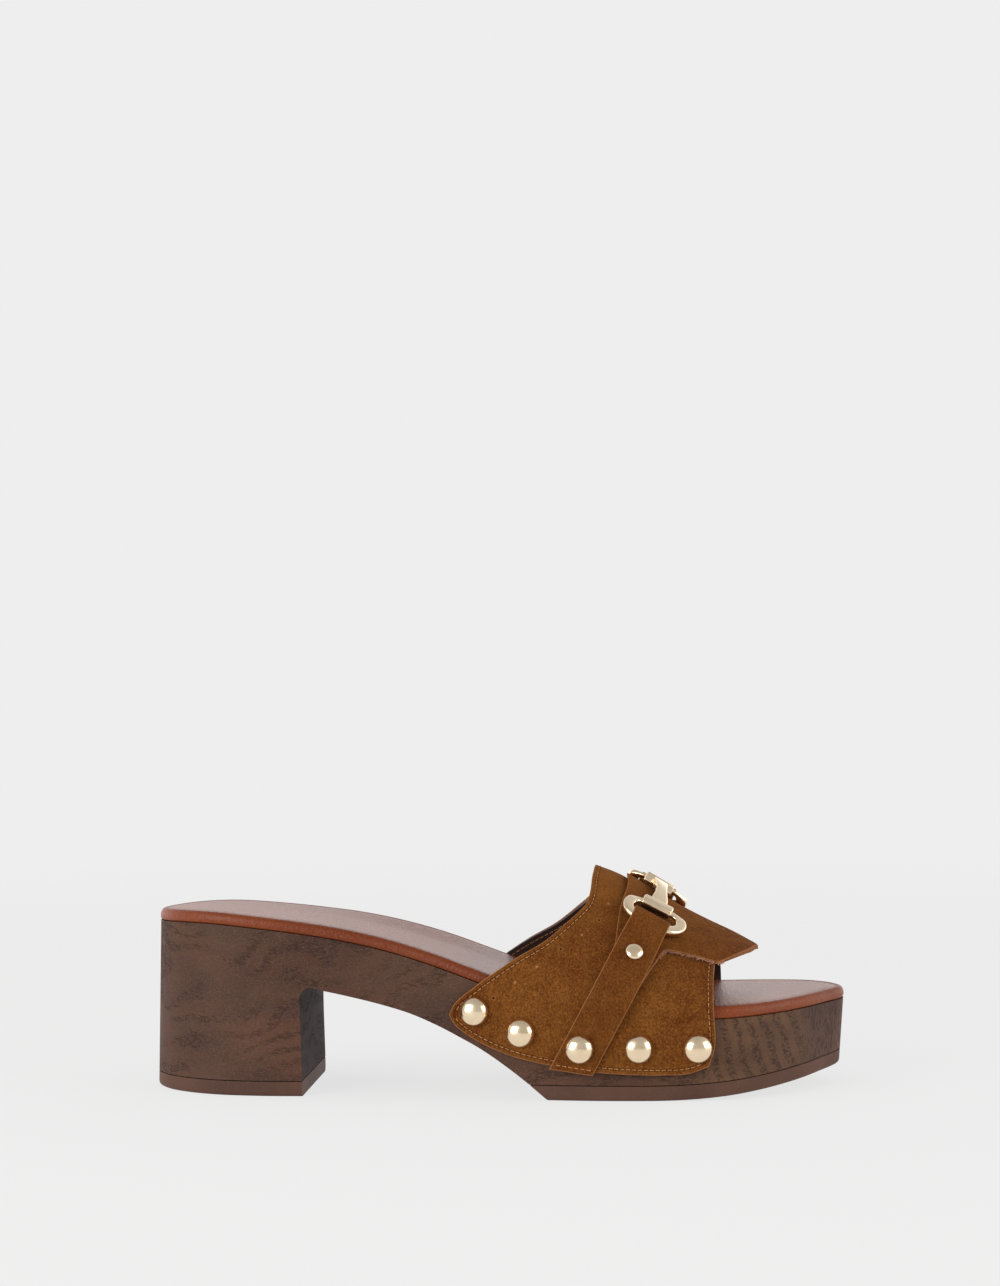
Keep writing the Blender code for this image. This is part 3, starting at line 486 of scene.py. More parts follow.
def base_grids():
    """The base's two sides, its underside and its top. Each side is spread between its lower
    edge and its upper edge, and the underside spans the two lower edges at the same station."""
    x, z = under_path(TOP_PIECE_THICKNESS + SEAM_GAP, OUTSOLE_THICKNESS + SEAM_GAP)
    run = lengths_along(np.stack([x, SIDE_HEIGHT_WEIGHT * z], 1))
    run /= run[-1]
    rows = np.linspace(0.0, 1.0, SIDE_ROWS)[:, None]
    grids, lower, upper = [], [], []
    for side in (-1, 1):
        s = share_at(x, side)
        s[0], s[-1] = 0.0, 1.0
        top_s = 0.5 * run + 0.5 * s
        brim = side_point(top_s, np.full(len(s), ABOVE_ALL), side)
        top_z = top_height(brim[:, 0], brim[:, 1])
        s_grid = s + (top_s - s) * rows
        grid = side_point(s_grid, z + (top_z - z) * rows, side)
        grids.append((grid, 0))
        lower.append(grid[0])
        upper.append(grid[-1])
    rungs = np.linspace(0.0, 1.0, UNDER_RUNGS)[:, None, None]
    grids.append((lower[0] + (lower[1] - lower[0]) * rungs, 0))
    lid = upper[0] + (upper[1] - upper[0]) * rungs
    lid[1:-1, :, 2] = top_height(lid[1:-1, :, 0], lid[1:-1, :, 1])
    grids.append((lid, 0))
    return grids


def round_off(piece, width, segments, angle):
    """Round a piece's sharp edges."""
    step = piece.modifiers.new("rounded_edges", "BEVEL")
    step.width = width * MM
    step.segments = segments
    step.limit_method = "ANGLE"
    step.angle_limit = math.radians(angle)
    step.harden_normals = True


wood = finish_named("stained_wood_effect")
cloud = wood.noise(34.0, 4.0, (0.55, 1.0, 1.3))
warmth = wood.noise(52.0, 3.0, (0.45, 1.0, 1.5))
figure = wood.noise(30.0, 2.0, (0.6, 0.5, 1.0))
height_here = wood.axis(2)
length_here = wood.axis(0)
waves = figure * 0.010 + wood.noise(150.0, 1.0) * 0.003
wavy = wood.add("CombineXYZ", None, {0: 0.0, 1: 0.0, 2: waves})
drift = wood.add("VectorMath", {"operation": "ADD"}, {0: wood.place(), 1: wavy})


def dashes(stretch, start):
    """Open pores: noise drawn out along the grain and cut off at a level."""
    drawn = wood.add("VectorMath", {"operation": "MULTIPLY"}, {0: drift, 1: stretch})
    grey = wood.add("TexNoise", None, {"Vector": drawn, "Scale": 700.0, "Detail": 1.0})
    return grey.step(start, 0.60)


flow_pores = dashes((0.60, 0.9, 2.3), 0.45)
ticks = dashes((1.0, 0.8, 2.1), 0.46)
hair_pores = dashes((2.6, 1.2, 0.5), 0.48)
bands = (height_here * 620.0 - length_here * 150.0 + figure * 46.0).maths("SINE")
uprights = (length_here * 1330.0 + height_here * 420.0 + figure * 17.0).maths("SINE")
columns_here = uprights.step(-0.75, 0.60)
near_toe = length_here.step(0.068, 0.076)
at_tip = length_here.step(0.104, 0.112)
patches = wood.noise(40.0, 1.0, (0.7, 1.0, 1.25)).step(0.34, 0.52)
at_rear = 1.0 - length_here.step(-0.1195, -0.1125)
flow = flow_pores * (bands.step(-0.5, 0.8) * 0.75 + 0.15) * patches * (1.0 - near_toe)
rear_hairs = hair_pores * at_rear * height_here.step(0.034, 0.048) * 0.8
stand_up = (ticks * columns_here * (1.0 - at_tip) + hair_pores * at_tip * 0.7) * near_toe
marks = (flow + stand_up + rear_hairs).maths("MINIMUM", 1.0)
# Painted shade: where the surface turns away from the sides, on the heel's breast and the arch's
# underside, the wood is laid near-black and rougher, with fainter pores.
sideways = wood.facing(1).maths("ABSOLUTE")
in_arch = length_here.step(-0.0690, -0.0682) * (1.0 - length_here.step(0.02, 0.03))
painted_arch_shade = (1.0 - sideways.step(0.25, 0.55)) * in_arch * (1.0 - height_here.step(0.052, 0.054))
dust = wood.noise(2000.0, 1.0, (0.7, 1.0, 1.4))
stain = wood.layers(wood.mix(cloud.step(0.34, 0.66), linear(64, 42, 34), linear(82, 56, 43)), (
    (warmth.step(0.48, 0.70) * 0.55, 88, 55, 42),
    ((1.0 - warmth.step(0.30, 0.50)) * 0.45, 60, 45, 39),
    (near_toe * cloud.step(0.42, 0.66) * 0.55, 106, 78, 52),
    (patches * bands.step(-0.2, 1.0) * 0.14, 54, 39, 34),
    (columns_here * near_toe * (1.0 - at_tip) * 0.15, 62, 45, 40),
    # Painted shade: the next two layers darken the wood at the toe's tip and at the heel's rear, where
    # the side turns away from the light.
    (at_tip * 0.40, 64, 46, 43),
    (at_rear * 0.45, 58, 36, 30),
    # Painted shade: darker towards the top, under the insole's overhang.
    (height_here.step(0.026, 0.054) * 0.20, 56, 36, 29),
    (marks * 0.55 * (1.0 - painted_arch_shade * 0.75), 34, 25, 24),
    (dust.step(0.40, 0.75) * 0.34, 112, 82, 64),
    (painted_arch_shade * 0.85, 36, 27, 26)))
stained_wood = wood.set(Base_Color=stain, Roughness=0.58 + marks * 0.2 + painted_arch_shade * 0.16,
                        Normal=wood.bump(1.0 - marks, 0.00014), Specular_IOR_Level=0.16)

base = mesh_of("wood_effect_base", base_grids(), [stained_wood], crease=30.0)
round_off(base, 0.9, 3, 40.0)
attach(base, "root")
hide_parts("wood_base")


# The outsole under the toes and the heel's top piece: red-brown rubber slabs, glued on with a
# fine groove above them, their lower edges rounded, with a rib tread under both.

SOLE_ROUNDING = 1.6


def arch_station(height):
    """The station where the arch's curve passes a height near the floor."""
    shares = np.linspace(UNDER_LINE[0][0], UNDER_LINE[-1][0], 80)
    z = top_height(along(shares), 0.0) - SHANK_THICKNESS * curve(UNDER_LINE, shares)
    return np.interp(-height, -z, along(shares))


def sole_grids(thickness, low_x, high_x):
    """A slab that follows the base's outline between two stations, its sides leaning with the
    base's and its lower edge rounded by a quarter circle. The rear station may lean."""
    middle = np.linspace(0.0, 1.0, 120)
    turn = np.linspace(0.0, math.pi / 2, 6)
    inward = np.concatenate([SOLE_ROUNDING * (1.0 - np.sin(turn)), [0.0]])[:, None]
    rise = np.concatenate([SOLE_ROUNDING * (1.0 - np.cos(turn)), [thickness]])[:, None]
    start = low_x(rise) if callable(low_x) else low_x + 0.0 * rise
    x = start + (high_x - start) * (0.5 - 0.5 * np.cos(math.pi * middle))
    grids, lower, upper = [], [], []
    for side in (-1, 1):
        s = share_at(x, side)
        z = floor_height(x) + rise
        grid = side_point(s, z, side, inward)
        grids.append((grid, 0))
        lower.append(grid[0])
        upper.append(grid[-1])
    rungs = np.linspace(0.0, 1.0, UNDER_RUNGS)[:, None, None]
    for edges in (lower, upper):
        grids.append((edges[0] + (edges[1] - edges[0]) * rungs, 0))
    outer, inner = grids[0][0], grids[1][0]
    ends = [(outer[:, end] + (inner[:, end] - outer[:, end]) * rungs, 0) for end in (0, -1)]
    return grids + ends


rubber = finish_named("red_brown_rubber")
speck = rubber.noise(1500.0, 2.0)
smudge = rubber.noise(30.0, 3.0)
ribs = (rubber.axis(0) * 2600.0).maths("SINE").step(-0.5, 0.5)
tread = ribs * (0.0 - rubber.facing(2)).step(0.85, 0.97)
tone = rubber.layers(rubber.mix(smudge.step(0.3, 0.7), linear(72, 49, 41), linear(90, 63, 51)), (
    (tread * 0.35, 46, 30, 28),
    (speck.step(0.4, 0.8) * 0.2, 110, 82, 66)))
sole_rubber = rubber.set(Base_Color=tone, Roughness=0.6, Specular_IOR_Level=0.16,
                         Normal=rubber.bump(tread * -1.0 + speck * 0.06, 0.0005))

breast_x = along(0.0) + HEEL_LENGTH + BREAST_FLARE
for name, node, thickness, low_x, high_x in (
        ("outsole_rubber", "outsole", OUTSOLE_THICKNESS, arch_station, along(1.0)),
        ("heel_top_rubber", "heel_top_piece", TOP_PIECE_THICKNESS, along(0.0), breast_x)):
    slab = mesh_of(name, sole_grids(thickness, low_x, high_x), [sole_rubber], crease=35.0)
    round_off(slab, 0.7, 3, 50.0)
    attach(slab, "root")
    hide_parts(node)


# The insole: foam covered in a smooth tan leather that is rolled over its edge, with a crease
# just inside the roll and fine pebbling on top.

INSOLE_THICKNESS = 4.0
INSOLE_ROLL = 3.0
INSOLE_STEPS = 240
INSOLE_GAP = 0.1
INSOLE_SWELL = 0.2
INSOLE_PROFILE_STEPS = 34
SPINE_MARGIN = 26.0
ROLL_END = 0.9

# Columns: inset from the base's edge in roll widths, rise in insole thicknesses
INSOLE_EDGE = ((0.30, 0.00), (0.10, 0.04), (-0.02, 0.20), (-0.05, 0.42), (0.01, 0.66),
               (0.17, 0.86), (0.42, 0.97), (0.68, 0.99), (0.86, 0.97), (0.98, 0.95),
               (1.10, 0.96), (1.35, 0.98), (1.80, 1.00), (2.60, 1.00))


def insole_grids():
    """Rings that follow the base's edge over the roll's profile, then shrink to a spine along
    the middle above and below. The rings up to the crease have finish 1, all else 0."""
    loop = edge_loop(INSOLE_STEPS)
    profile = path(INSOLE_EDGE, INSOLE_PROFILE_STEPS)
    full = INSOLE_THICKNESS + INSOLE_SWELL
    rings_up = []
    for inward, rise in profile:
        ring = inset(loop, inward * INSOLE_ROLL)
        seat = top_height(ring[:, 0], ring[:, 1]) + INSOLE_GAP
        rings_up.append(np.column_stack([ring, seat + rise * full]))
    around = np.stack(rings_up)
    around = np.concatenate([around, around[:, :1]], 1)
    crease_at = np.argmax(profile[:, 0] > ROLL_END)
    grids = [(around[:crease_at + 1], 1), (around[crease_at:], 0)]
    shrink = np.linspace(0.0, 1.0, 30)[:, None, None]
    for ring, rise in ((around[0], INSOLE_GAP), (around[-1], INSOLE_GAP + full)):
        outer = ring[:INSOLE_STEPS + 1]
        inner = ring[INSOLE_STEPS:][::-1]
        spine = (outer + inner) / 2
        spine[:, 0] = np.clip(spine[:, 0], along(0.0) + SPINE_MARGIN, along(1.0) - SPINE_MARGIN)
        for edge in (outer, inner):
            sheet = edge + (spine - edge) * shrink
            sheet[1:, :, 2] = top_height(sheet[1:, :, 0], sheet[1:, :, 1]) + rise
            grids.append((sheet, 0))
    return grids


def insole_hide(name, deep, pale, gloss, roughness, depth):
    """Smooth tan leather: pebbled skin with worn, paler stretches and fine flecks."""
    leather = finish_named(name)
    pebble = leather.add("TexVoronoi", {"feature": "SMOOTH_F1"},
                         {"Vector": leather.place(), "Scale": 1100.0, "Smoothness": 0.6})
    wear = leather.noise(18.0, 3.0, (0.6, 1.0, 1.0))
    fleck = leather.noise(1800.0, 2.0)
    hide = leather.mix(wear.step(0.3, 0.7), linear(*deep), linear(*pale))
    hide = leather.mix(fleck.step(0.4, 0.75) * 0.25, hide, linear(148, 92, 56))
    return leather.set(Base_Color=hide, Roughness=roughness + fleck * 0.12, Specular_IOR_Level=gloss,
                       Coat_Weight=0.03, Coat_Roughness=0.3,
                       Normal=leather.bump(pebble * 0.8 + fleck * 0.4, depth))


top_leather = insole_hide("tan_insole_leather", (104, 46, 20), (120, 58, 28), 0.50, 0.30, 0.00036)
roll_leather = insole_hide("rolled_insole_leather", (104, 42, 12), (122, 54, 18), 0.24, 0.36, 0.00022)
pad = mesh_of("padded_insole", insole_grids(), [top_leather, roll_leather], crease=70.0)
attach(pad, "root")
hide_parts("insole")


# The band: tan suede over a dark smooth lining, cut with raw edges and stitched together just
# inside them. It is pulled over the last and held to the base's side by the studs.

INSTEP_RISE = 50.0
BAND_WALL = 2.0
SUEDE_WALL = 1.15
RIDGE_SHIFT = 0.4
ARCH_ROUNDNESS = 1.54
SIDE_CLEARANCE = 0.4
FRONT_STEP = 2.2
STRAP_SLANT = 0.54
BAND_COLUMNS = 96
BAND_ROWS = 110
EDGE_STEPS = (0.0, 0.12, 0.35, 0.7)

# Columns: share of the length, height over the platform in instep rises
CROWN_LINE = ((0.442, 1.310), (0.504, 1.240), (0.585, 1.122), (0.643, 1.008), (0.677, 0.942),
              (0.727, 0.791), (0.773, 0.656), (0.805, 0.574), (0.842, 0.486), (0.877, 0.390))
BAND_REAR = ((0.442, 0.028), (0.448, 0.086), (0.477, 0.214), (0.503, 0.308), (0.536, 0.416),
             (0.580, 0.542), (0.611, 0.666), (0.628, 0.740), (0.6345, 0.775), (0.639, 0.852),
             (0.6405, 0.940), (0.643, 1.008))
BAND_FRONT = ((0.806, -0.320), (0.8135, -0.218), (0.814, 0.074), (0.814, 0.288), (0.820, 0.526))

# Columns: share of the length, height in platform heights
BAND_FOOT = ((0.442, 1.050), (0.447, 0.954), (0.464, 0.823), (0.497, 0.663), (0.530, 0.553),
             (0.562, 0.482), (0.587, 0.443), (0.656, 0.362), (0.706, 0.337), (0.740, 0.333),
             (0.782, 0.358), (0.806, 0.433))
BAND_FRONT_X = along(BAND_FRONT[-2][0])


def wall_sizes(x, side, lift):
    """Spring height, crown height and half width of a cross section, lifted off the band."""
    near = np.minimum(x, BAND_FRONT_X)
    spring = top_height(near, 0.0) + INSOLE_THICKNESS
    crown = PLATFORM_HEIGHT + INSTEP_RISE * curve(CROWN_LINE, x / SHOE_LENGTH + 0.5)
    crown = crown + lift * math.hypot(1.0, STRAP_SLANT)
    wall = half_width(near, side) + SIDE_CLEARANCE + BAND_WALL + lift
    return spring, crown, wall


def section(x, girth, side, lift):
    """A point of the upper: girth 0 on the ridge, 1 where the wall stands upright, 2 on the floor.
    Above the upright wall each side is a quarter of a superellipse."""
    spring, crown, wall = wall_sizes(x, side, lift)
    angle = np.clip(girth, 0.0, 1.0) * math.pi / 2
    power = 2.0 / ARCH_ROUNDNESS
    over_y = RIDGE_SHIFT + side * (wall - side * RIDGE_SHIFT) * np.sin(angle) ** power
    over_z = spring + (crown - spring) * np.cos(angle) ** power
    wall_z = spring * (2.0 - girth)
    drop = np.clip(1.0 - wall_z / (spring - INSOLE_THICKNESS), 0.0, 1.0)
    wall_y = side * (wall + flare(np.minimum(x, BAND_FRONT_X)) * drop)
    on_wall = girth > 1.0
    y, z = np.where(on_wall, wall_y, over_y), np.where(on_wall, wall_z, over_z)
    return np.stack([x + 0.0 * girth, y, z], -1)


def girth_at(x, z, side, lift):
    """The girth coordinate of the section point at a given height."""
    spring, crown, _ = wall_sizes(x, side, lift)
    share = np.clip((z - spring) / (crown - spring), 0.0, 1.0)
    over = np.arccos(share ** (ARCH_ROUNDNESS / 2)) * 2 / math.pi
    return np.where(z < spring, 2.0 - z / spring, over)


def girth_near(point, side, lift):
    """The girth coordinate whose section point lies nearest: the angle whose sine and cosine
    the point's width and height give, or on the upright wall its height alone."""
    x, y, z = np.moveaxis(point, -1, 0)
    spring, crown, wall = wall_sizes(x, side, lift)
    wide = np.clip(side * (y - RIDGE_SHIFT) / (wall - side * RIDGE_SHIFT), 0.0, None)
    high = np.clip((z - spring) / (crown - spring), 0.0, None)
    angle = np.arctan2(wide ** (ARCH_ROUNDNESS / 2), high ** (ARCH_ROUNDNESS / 2))
    return np.where(z < spring, 2.0 - z / spring, angle * 2 / math.pi)


def outward(x, girth, side, lift):
    """Unit normal of the upper: the cross product of its two directions, turned outwards."""
    girth = np.maximum(girth, 0.012)
    down = section(x, girth + 0.01, side, lift) - section(x, girth - 0.01, side, lift)
    front = section(x + 0.5, girth, side, lift) - section(x - 0.5, girth, side, lift)
    return unit(np.cross(front, down) * -side)


def edge_line(rows, rise, base_height, count):
    """A table's edge as (x, girth) points; its heights are base_height plus shares of rise."""
    x, z = path([(along(a), base_height + h * rise) for a, h in rows], count).T
    return np.stack([x, girth_at(x, z, -1, 0.0)], 1)


def even_share(count, length, both=True):
    """Shares from 0 to 1, closer together at the start, and at the end if both, where a raw
    edge is rounded over the first steps."""
    near = np.array(EDGE_STEPS) / length
    far = 1.0 - near[::-1] if both else np.array([1.0])
    return np.concatenate([near, np.linspace(near[-1], far[0], count)[1:-1], far])


def pick(line, where, stations):
    """Points of a line at the given places, read between the stations of its own points."""
    return np.stack([np.interp(where, stations, column) for column in line.T], -1)


def patch_of(rear, front, foot, crown, u, v):
    """A patch between four edges: the two ways of spanning them added, less the corners."""
    at_u = np.linspace(0.0, 1.0, len(foot))
    at_v = np.linspace(0.0, 1.0, len(rear))
    low, high = pick(foot, u, at_u)[None], pick(crown, u, at_u)[None]
    back, fore = pick(rear, v, at_v)[:, None], pick(front, v, at_v)[:, None]
    u, v = u[None, :, None], v[:, None, None]
    made = (1 - v) * low + v * high + (1 - u) * back + u * fore
    made = made - (1 - u) * (1 - v) * rear[0] - u * (1 - v) * front[0]
    return made - (1 - u) * v * rear[-1] - u * v * front[-1]


def inner_side(x, girth, lift):
    """A half grid on the inner side, whose front edge is cut a little further forward."""
    forward = FRONT_STEP * ramp(x, BAND_FRONT_X - 18.0, BAND_FRONT_X) * ramp(girth, 0.45, 0.80)
    return section(x + forward, girth, 1, lift)


def both_sides(x, girth, lift):
    """A half grid of the upper, from its foot to the ridge, carried over to the inner side."""
    outer = section(x, girth, -1, lift)
    inner = inner_side(x, girth, lift)
    return np.concatenate([outer, inner[-2::-1]])


def distance_to(points, line):
    """Shortest distance from each point to a line's close-set points."""
    flat = points.reshape(-1, 3)
    parts = [np.sqrt(((part[:, None] - line[None]) ** 2).sum(-1).min(1))
             for part in np.array_split(flat, 40)]
    return np.concatenate(parts).reshape(points.shape[:-1])


def edge_round(rim, radius):
    """How far a raw edge's surface drops, a quarter circle over the first stretch of rim."""
    t = np.clip(1.0 - rim / radius, 0.0, 1.0)
    return radius * (1.0 - np.sqrt(1.0 - t * t))


def faces_and_cuts(top, under, rim):
    """Grids of a hide's outer face, inner face and four cut edges, and the rim of each."""
    edges = [np.stack([top[select], under[select]])
             for select in (np.s_[0], np.s_[-1], np.s_[:, 0], np.s_[:, -1])]
    grids = [(top, 0), (under[:, ::-1], 1)] + [(edge, 2) for edge in edges]
    rims = [rim, rim[:, ::-1]] + [np.zeros(edge.shape[:2]) for edge in edges]
    return grids, rims


def hide_grids(x, girth, top, bottom, rounding, border):
    """Outer face, inner face and cut edge of a hide over the upper between two lifts, its
    outer edges rounded. The rim of each is its distance from the border line."""
    flat = both_sides(x, girth, top)
    rim = distance_to(flat, border)
    half = len(x)
    drop = edge_round(rim, rounding)
    outer = np.concatenate([section(x, girth, -1, top - drop[:half]),
                            inner_side(x, girth, top - drop[half - 1:][::-1])[-2::-1]])
    return faces_and_cuts(outer, both_sides(x, girth, bottom), rim)


foot = edge_line(BAND_FOOT, PLATFORM_HEIGHT, 0.0, 400)
rear = edge_line(BAND_REAR, INSTEP_RISE, PLATFORM_HEIGHT, 400)
front = edge_line(BAND_FRONT, INSTEP_RISE, PLATFORM_HEIGHT, 400)
rear[-1, 1] = 0.0
front[-1, 1] = 0.0
foot[0], foot[-1] = rear[0], front[0]
crown = np.linspace(rear[-1], front[-1], 400)
band_u = even_share(BAND_COLUMNS, 60.0)
band_v = even_share(BAND_ROWS, 75.0, both=False)
band_patch = patch_of(rear, front, foot, crown, band_u, band_v)
band_x, band_girth = band_patch[..., 0], np.maximum(band_patch[..., 1], 0.0)


def border_of(lines, lift):
    """The border in space on both sides, from its (x, girth) lines end to end."""
    sides = [section(line[:, 0], np.maximum(line[:, 1], 0.0), side, lift)
             for side in (-1, 1) for line in lines]
    return np.concatenate(sides)


band_border = border_of((rear, foot, front), 0.0)

# Columns: share of the length, height in platform heights, 1 for a dark hole and 0 for a pale nick
PIN_MARKS = ((0.5060, 1.260, 1), (0.6007, 1.851, 1), (0.6528, 2.174, 1), (0.5366, 1.455, 0),
             (0.5672, 1.645, 0), (0.6294, 2.010, 0), (0.6652, 2.354, 0))


def band_point(share, height):
    """The point of the band's outer side at a share and a height, in metres."""
    x, z = np.array(along(share)), np.array(height * PLATFORM_HEIGHT)
    return tuple(section(x, girth_at(x, z, -1, 0.0), -1, 0.0) * MM)


def suede_finish(name, deep, shaded_points=()):
    """Suede: short nap brushed in soft patches, lighter and darker by a shade, with a pale
    raw edge, a slight furrow where the stitches draw it down, darkened there as painted shade,
    pin marks whose holes are painted dark as shade, creases near the flap's point, and painted
    light that makes it lighter higher up. Deep is the share of a darker brown laid over it, and
    the nap is painted near-black as shade round the shaded points, given in metres."""
    mixed = finish_named(name)
    rim = mixed.add("Attribute", {"attribute_name": "rim"}, output="Fac")
    brushed = mixed.noise(30.0, 3.0, (1.0, 1.0, 1.0))
    patch = mixed.noise(190.0, 3.0)
    nap = mixed.noise(1600.0, 4.0, (1.0, 1.0, 0.8), 0.75)
    # The furrow is bumped in, and its darker tone below is painted shade in the stitch line's dip.
    furrow = rim.step(1.2, 1.65) * (1.0 - rim.step(1.95, 2.4))
    tone = mixed.layers(mixed.mix(brushed.step(0.32, 0.68), linear(96, 51, 17), linear(113, 68, 26)), (
        (patch.step(0.42, 0.70) * 0.45, 122, 75, 32),
        ((1.0 - patch.step(0.30, 0.52)) * 0.40, 86, 43, 15),
        (nap.step(0.50, 0.64) * 0.62, 148, 94, 44),
        ((1.0 - nap.step(0.36, 0.50)) * 0.68, 68, 32, 7),
        (deep, 76, 36, 10),
        # Painted light: the suede made lighter higher up, where it faces the light from above.
        (mixed.axis(2).step(0.050, 0.080) * 0.35, 140, 88, 38),
        ((1.0 - rim.step(0.05, 0.40)) * 0.70, 168, 114, 74),
        (furrow * 0.45, 62, 30, 8)))
    height = nap * 0.6 + patch * 0.8 - furrow * 1.6
    for share, level, dark in PIN_MARKS:
        gap = mixed.distance(band_point(share, level))
        ring_share = gap.step(0.00030, 0.00055) * (1.0 - gap.step(0.00055, 0.00110))
        tone = mixed.mix(ring_share * (0.45 if dark else 0.25), tone, linear(150, 100, 60))
        # A dark hole's centre is painted shade inside the hole; a pale nick's centre is the suede's own
        # paler colour.
        centre = linear(34, 16, 8) if dark else linear(190, 138, 96)
        tone = mixed.mix((1.0 - gap.step(0.00016, 0.00046)) * (0.95 if dark else 0.7), tone, centre)
        if dark:
            height = height - (1.0 - gap.step(0.0002, 0.0005)) * 3.0
    # Painted shade: near-black round each shaded point.
    for point in shaded_points:
        gap = mixed.distance(point)
        tone = mixed.mix((1.0 - gap.step(0.0026, 0.0048)) * 0.85, tone, linear(30, 13, 5))
    wrinkle = mixed.noise(240.0, 1.0, (0.30, 1.0, 2.0)).step(0.36, 0.56)
    height = height + wrinkle * mixed.axis(0).step(0.062, 0.074) * 1.3
    return mixed.set(Base_Color=tone, Roughness=0.92, Specular_IOR_Level=0.07, Sheen_Weight=0.06,
                     Sheen_Roughness=0.45, Sheen_Tint=linear(200, 140, 84),
                     Normal=mixed.bump(height, 0.00024))


tan_suede = suede_finish("tan_suede", 0.06)
raw = finish_named("raw_suede_edge")
shred = raw.noise(2200.0, 3.0, (1.0, 1.0, 2.0))
raw_edge = raw.set(Base_Color=raw.mix(shred.step(0.35, 0.7), linear(114, 68, 40), linear(158, 106, 74)),
                   Roughness=0.95, Specular_IOR_Level=0.1, Normal=raw.bump(shred, 0.0003))
lining = finish_named("dark_lining")
pores_in = lining.noise(1600.0, 2.0)
lining_tone = lining.mix(pores_in.step(0.3, 0.8), linear(44, 31, 29), linear(66, 47, 42))
dark_lining = lining.set(Base_Color=lining_tone, Roughness=0.5, Normal=lining.bump(pores_in, 0.0001))

grids, rims = hide_grids(band_x, band_girth, 0.0, -SUEDE_WALL, 0.35, band_border)
band = mesh_of("suede_band", grids, [tan_suede, raw_edge, raw_edge], rims, 50.0)
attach(band, "root")
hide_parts("upper_band")

grids, rims = hide_grids(band_x, band_girth, -SUEDE_WALL, -BAND_WALL, 0.05, band_border)
inside = mesh_of("band_lining", grids, [dark_lining, dark_lining, dark_lining], rims, 50.0)
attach(inside, "root")


# The band's stitches: one row of tan thread just inside the raw edge, seen on the suede and
# again on the lining.

STITCH_INSET = 1.8
STITCH_PITCH = 2.0
STITCH_LENGTH = 1.45
THREAD_RADIUS = 0.24


def seam_points(line, side, lift, inward):
    """Points a distance inside an edge: each edge point moved square to the edge along the
    hide, and put back on it."""
    x, girth = line[:, 0], np.maximum(line[:, 1], 0.0)
    at = section(x, girth, side, lift)
    tangent = unit(np.gradient(at, axis=0))
    moved = at + np.cross(outward(x, girth, side, lift), tangent) * inward
    return moved[:, 0], girth_near(moved, side, lift)


def stitches(lines):
    """Stitches laid end to end along lines of (centre, normal) points: each a short thread
    whose two ends dip into the hide, all worked out as one array."""
    stations = np.array([-0.5, -0.36, 0.0, 0.36, 0.5])
    rise = np.array([-0.45, 0.35, 0.75, 0.35, -0.45]) * THREAD_RADIUS
    turn = np.arange(7) * 2 * math.pi / 6
    grids = []
    for at, normal in lines:
        length = lengths_along(at)
        count = max(1, int(length[-1] / STITCH_PITCH))
        where = (np.arange(count) + 0.5) * length[-1] / count
        places = where[:, None] + stations * STITCH_LENGTH
        up = unit(pick(normal, places, length))
        wide = np.cross(up, unit(pick(at, places + 0.2, length) - pick(at, places - 0.2, length)))
        centre = pick(at, places, length) + up * rise[:, None]
        girth_radius = THREAD_RADIUS * np.array([0.7, 1.0, 1.0, 1.0, 0.7])[None, :, None, None]
        tube = (centre[:, :, None] + girth_radius * (wide[:, :, None] * np.cos(turn)[:, None]
                                                     + up[:, :, None] * np.sin(turn)[:, None]))
        grids += [(one, 0) for one in tube]
    return grids


thread = finish_named("tan_thread")
ply = thread.noise(2600.0, 1.0).step(0.35, 0.7)
tan_thread = thread.set(Base_Color=thread.mix(ply, linear(146, 92, 44), linear(198, 142, 88)),
                        Roughness=0.75, Normal=thread.bump(ply, 0.0001))
seam_outside, seam_inside = [], []
for side in (-1, 1):
    for line, turn_in in ((rear, 1.0), (foot, -1.0), (front, -1.0)):
        trimmed = line[14:] if line is not foot else line[8:-8]
        for target, lift, sign in ((seam_outside, 0.0, 1.0), (seam_inside, -BAND_WALL, -1.0)):
            x, girth = seam_points(trimmed, side, lift, -STITCH_INSET * turn_in * side)
            normal = outward(x, girth, side, lift) * sign
            target.append((section(x, girth, side, lift), normal))
for name, lines in (("band_stitches", seam_outside), ("lining_stitches", seam_inside)):
    sewn = mesh_of(name, stitches(lines), [tan_thread], crease=80.0)
    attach(sewn, "root")


# The instep flap: a second hide of suede, single and raw at its edges, with a point over the
# toes and a tail down each side under the strap.

CLEARANCE = 0.3
FLAP_WALL = 1.4
UNSEWN_RIM = 1.1
FLAP_COLUMNS = 70
FLAP_ROWS = 90

# Columns: share of the length, height over the platform in instep rises
FLAP_REAR = ((0.666, 0.206), (0.670, 0.356), (0.677, 0.520), (0.679, 0.606), (0.682, 0.706),
             (0.687, 0.786), (0.691, 0.836), (0.691, 0.882), (0.689, 0.924))
FLAP_FRONT = ((0.701, 0.146), (0.717, 0.266), (0.735, 0.380), (0.746, 0.440), (0.760, 0.432),
              (0.774, 0.415), (0.803, 0.375), (0.8207, 0.350))

# Columns: share of the length, girth coordinate
FLAP_POINT = ((0.8207, 0.535), (0.8327, 0.479), (0.8412, 0.432), (0.8497, 0.376), (0.8598, 0.294),
              (0.8685, 0.199), (0.8775, 0.000))
GIRTH_LENGTH = 60.0
EDGE_POINTS = 200


def flap_edge(count):
    """The flap's front edge as (x, girth) points: its lower edge by heights, then its point."""
    lower = edge_line(FLAP_FRONT, INSTEP_RISE, PLATFORM_HEIGHT, EDGE_POINTS)
    shares = np.linspace(FLAP_POINT[0][0], FLAP_POINT[-1][0], EDGE_POINTS)
    point = np.stack([along(shares), np.maximum(curve(FLAP_POINT, shares), 0.0)], 1)
    line = np.concatenate([lower[:-1], point])
    length = lengths_along(line * (1.0, GIRTH_LENGTH))
    return pick(line, np.linspace(0.0, length[-1], count), length)


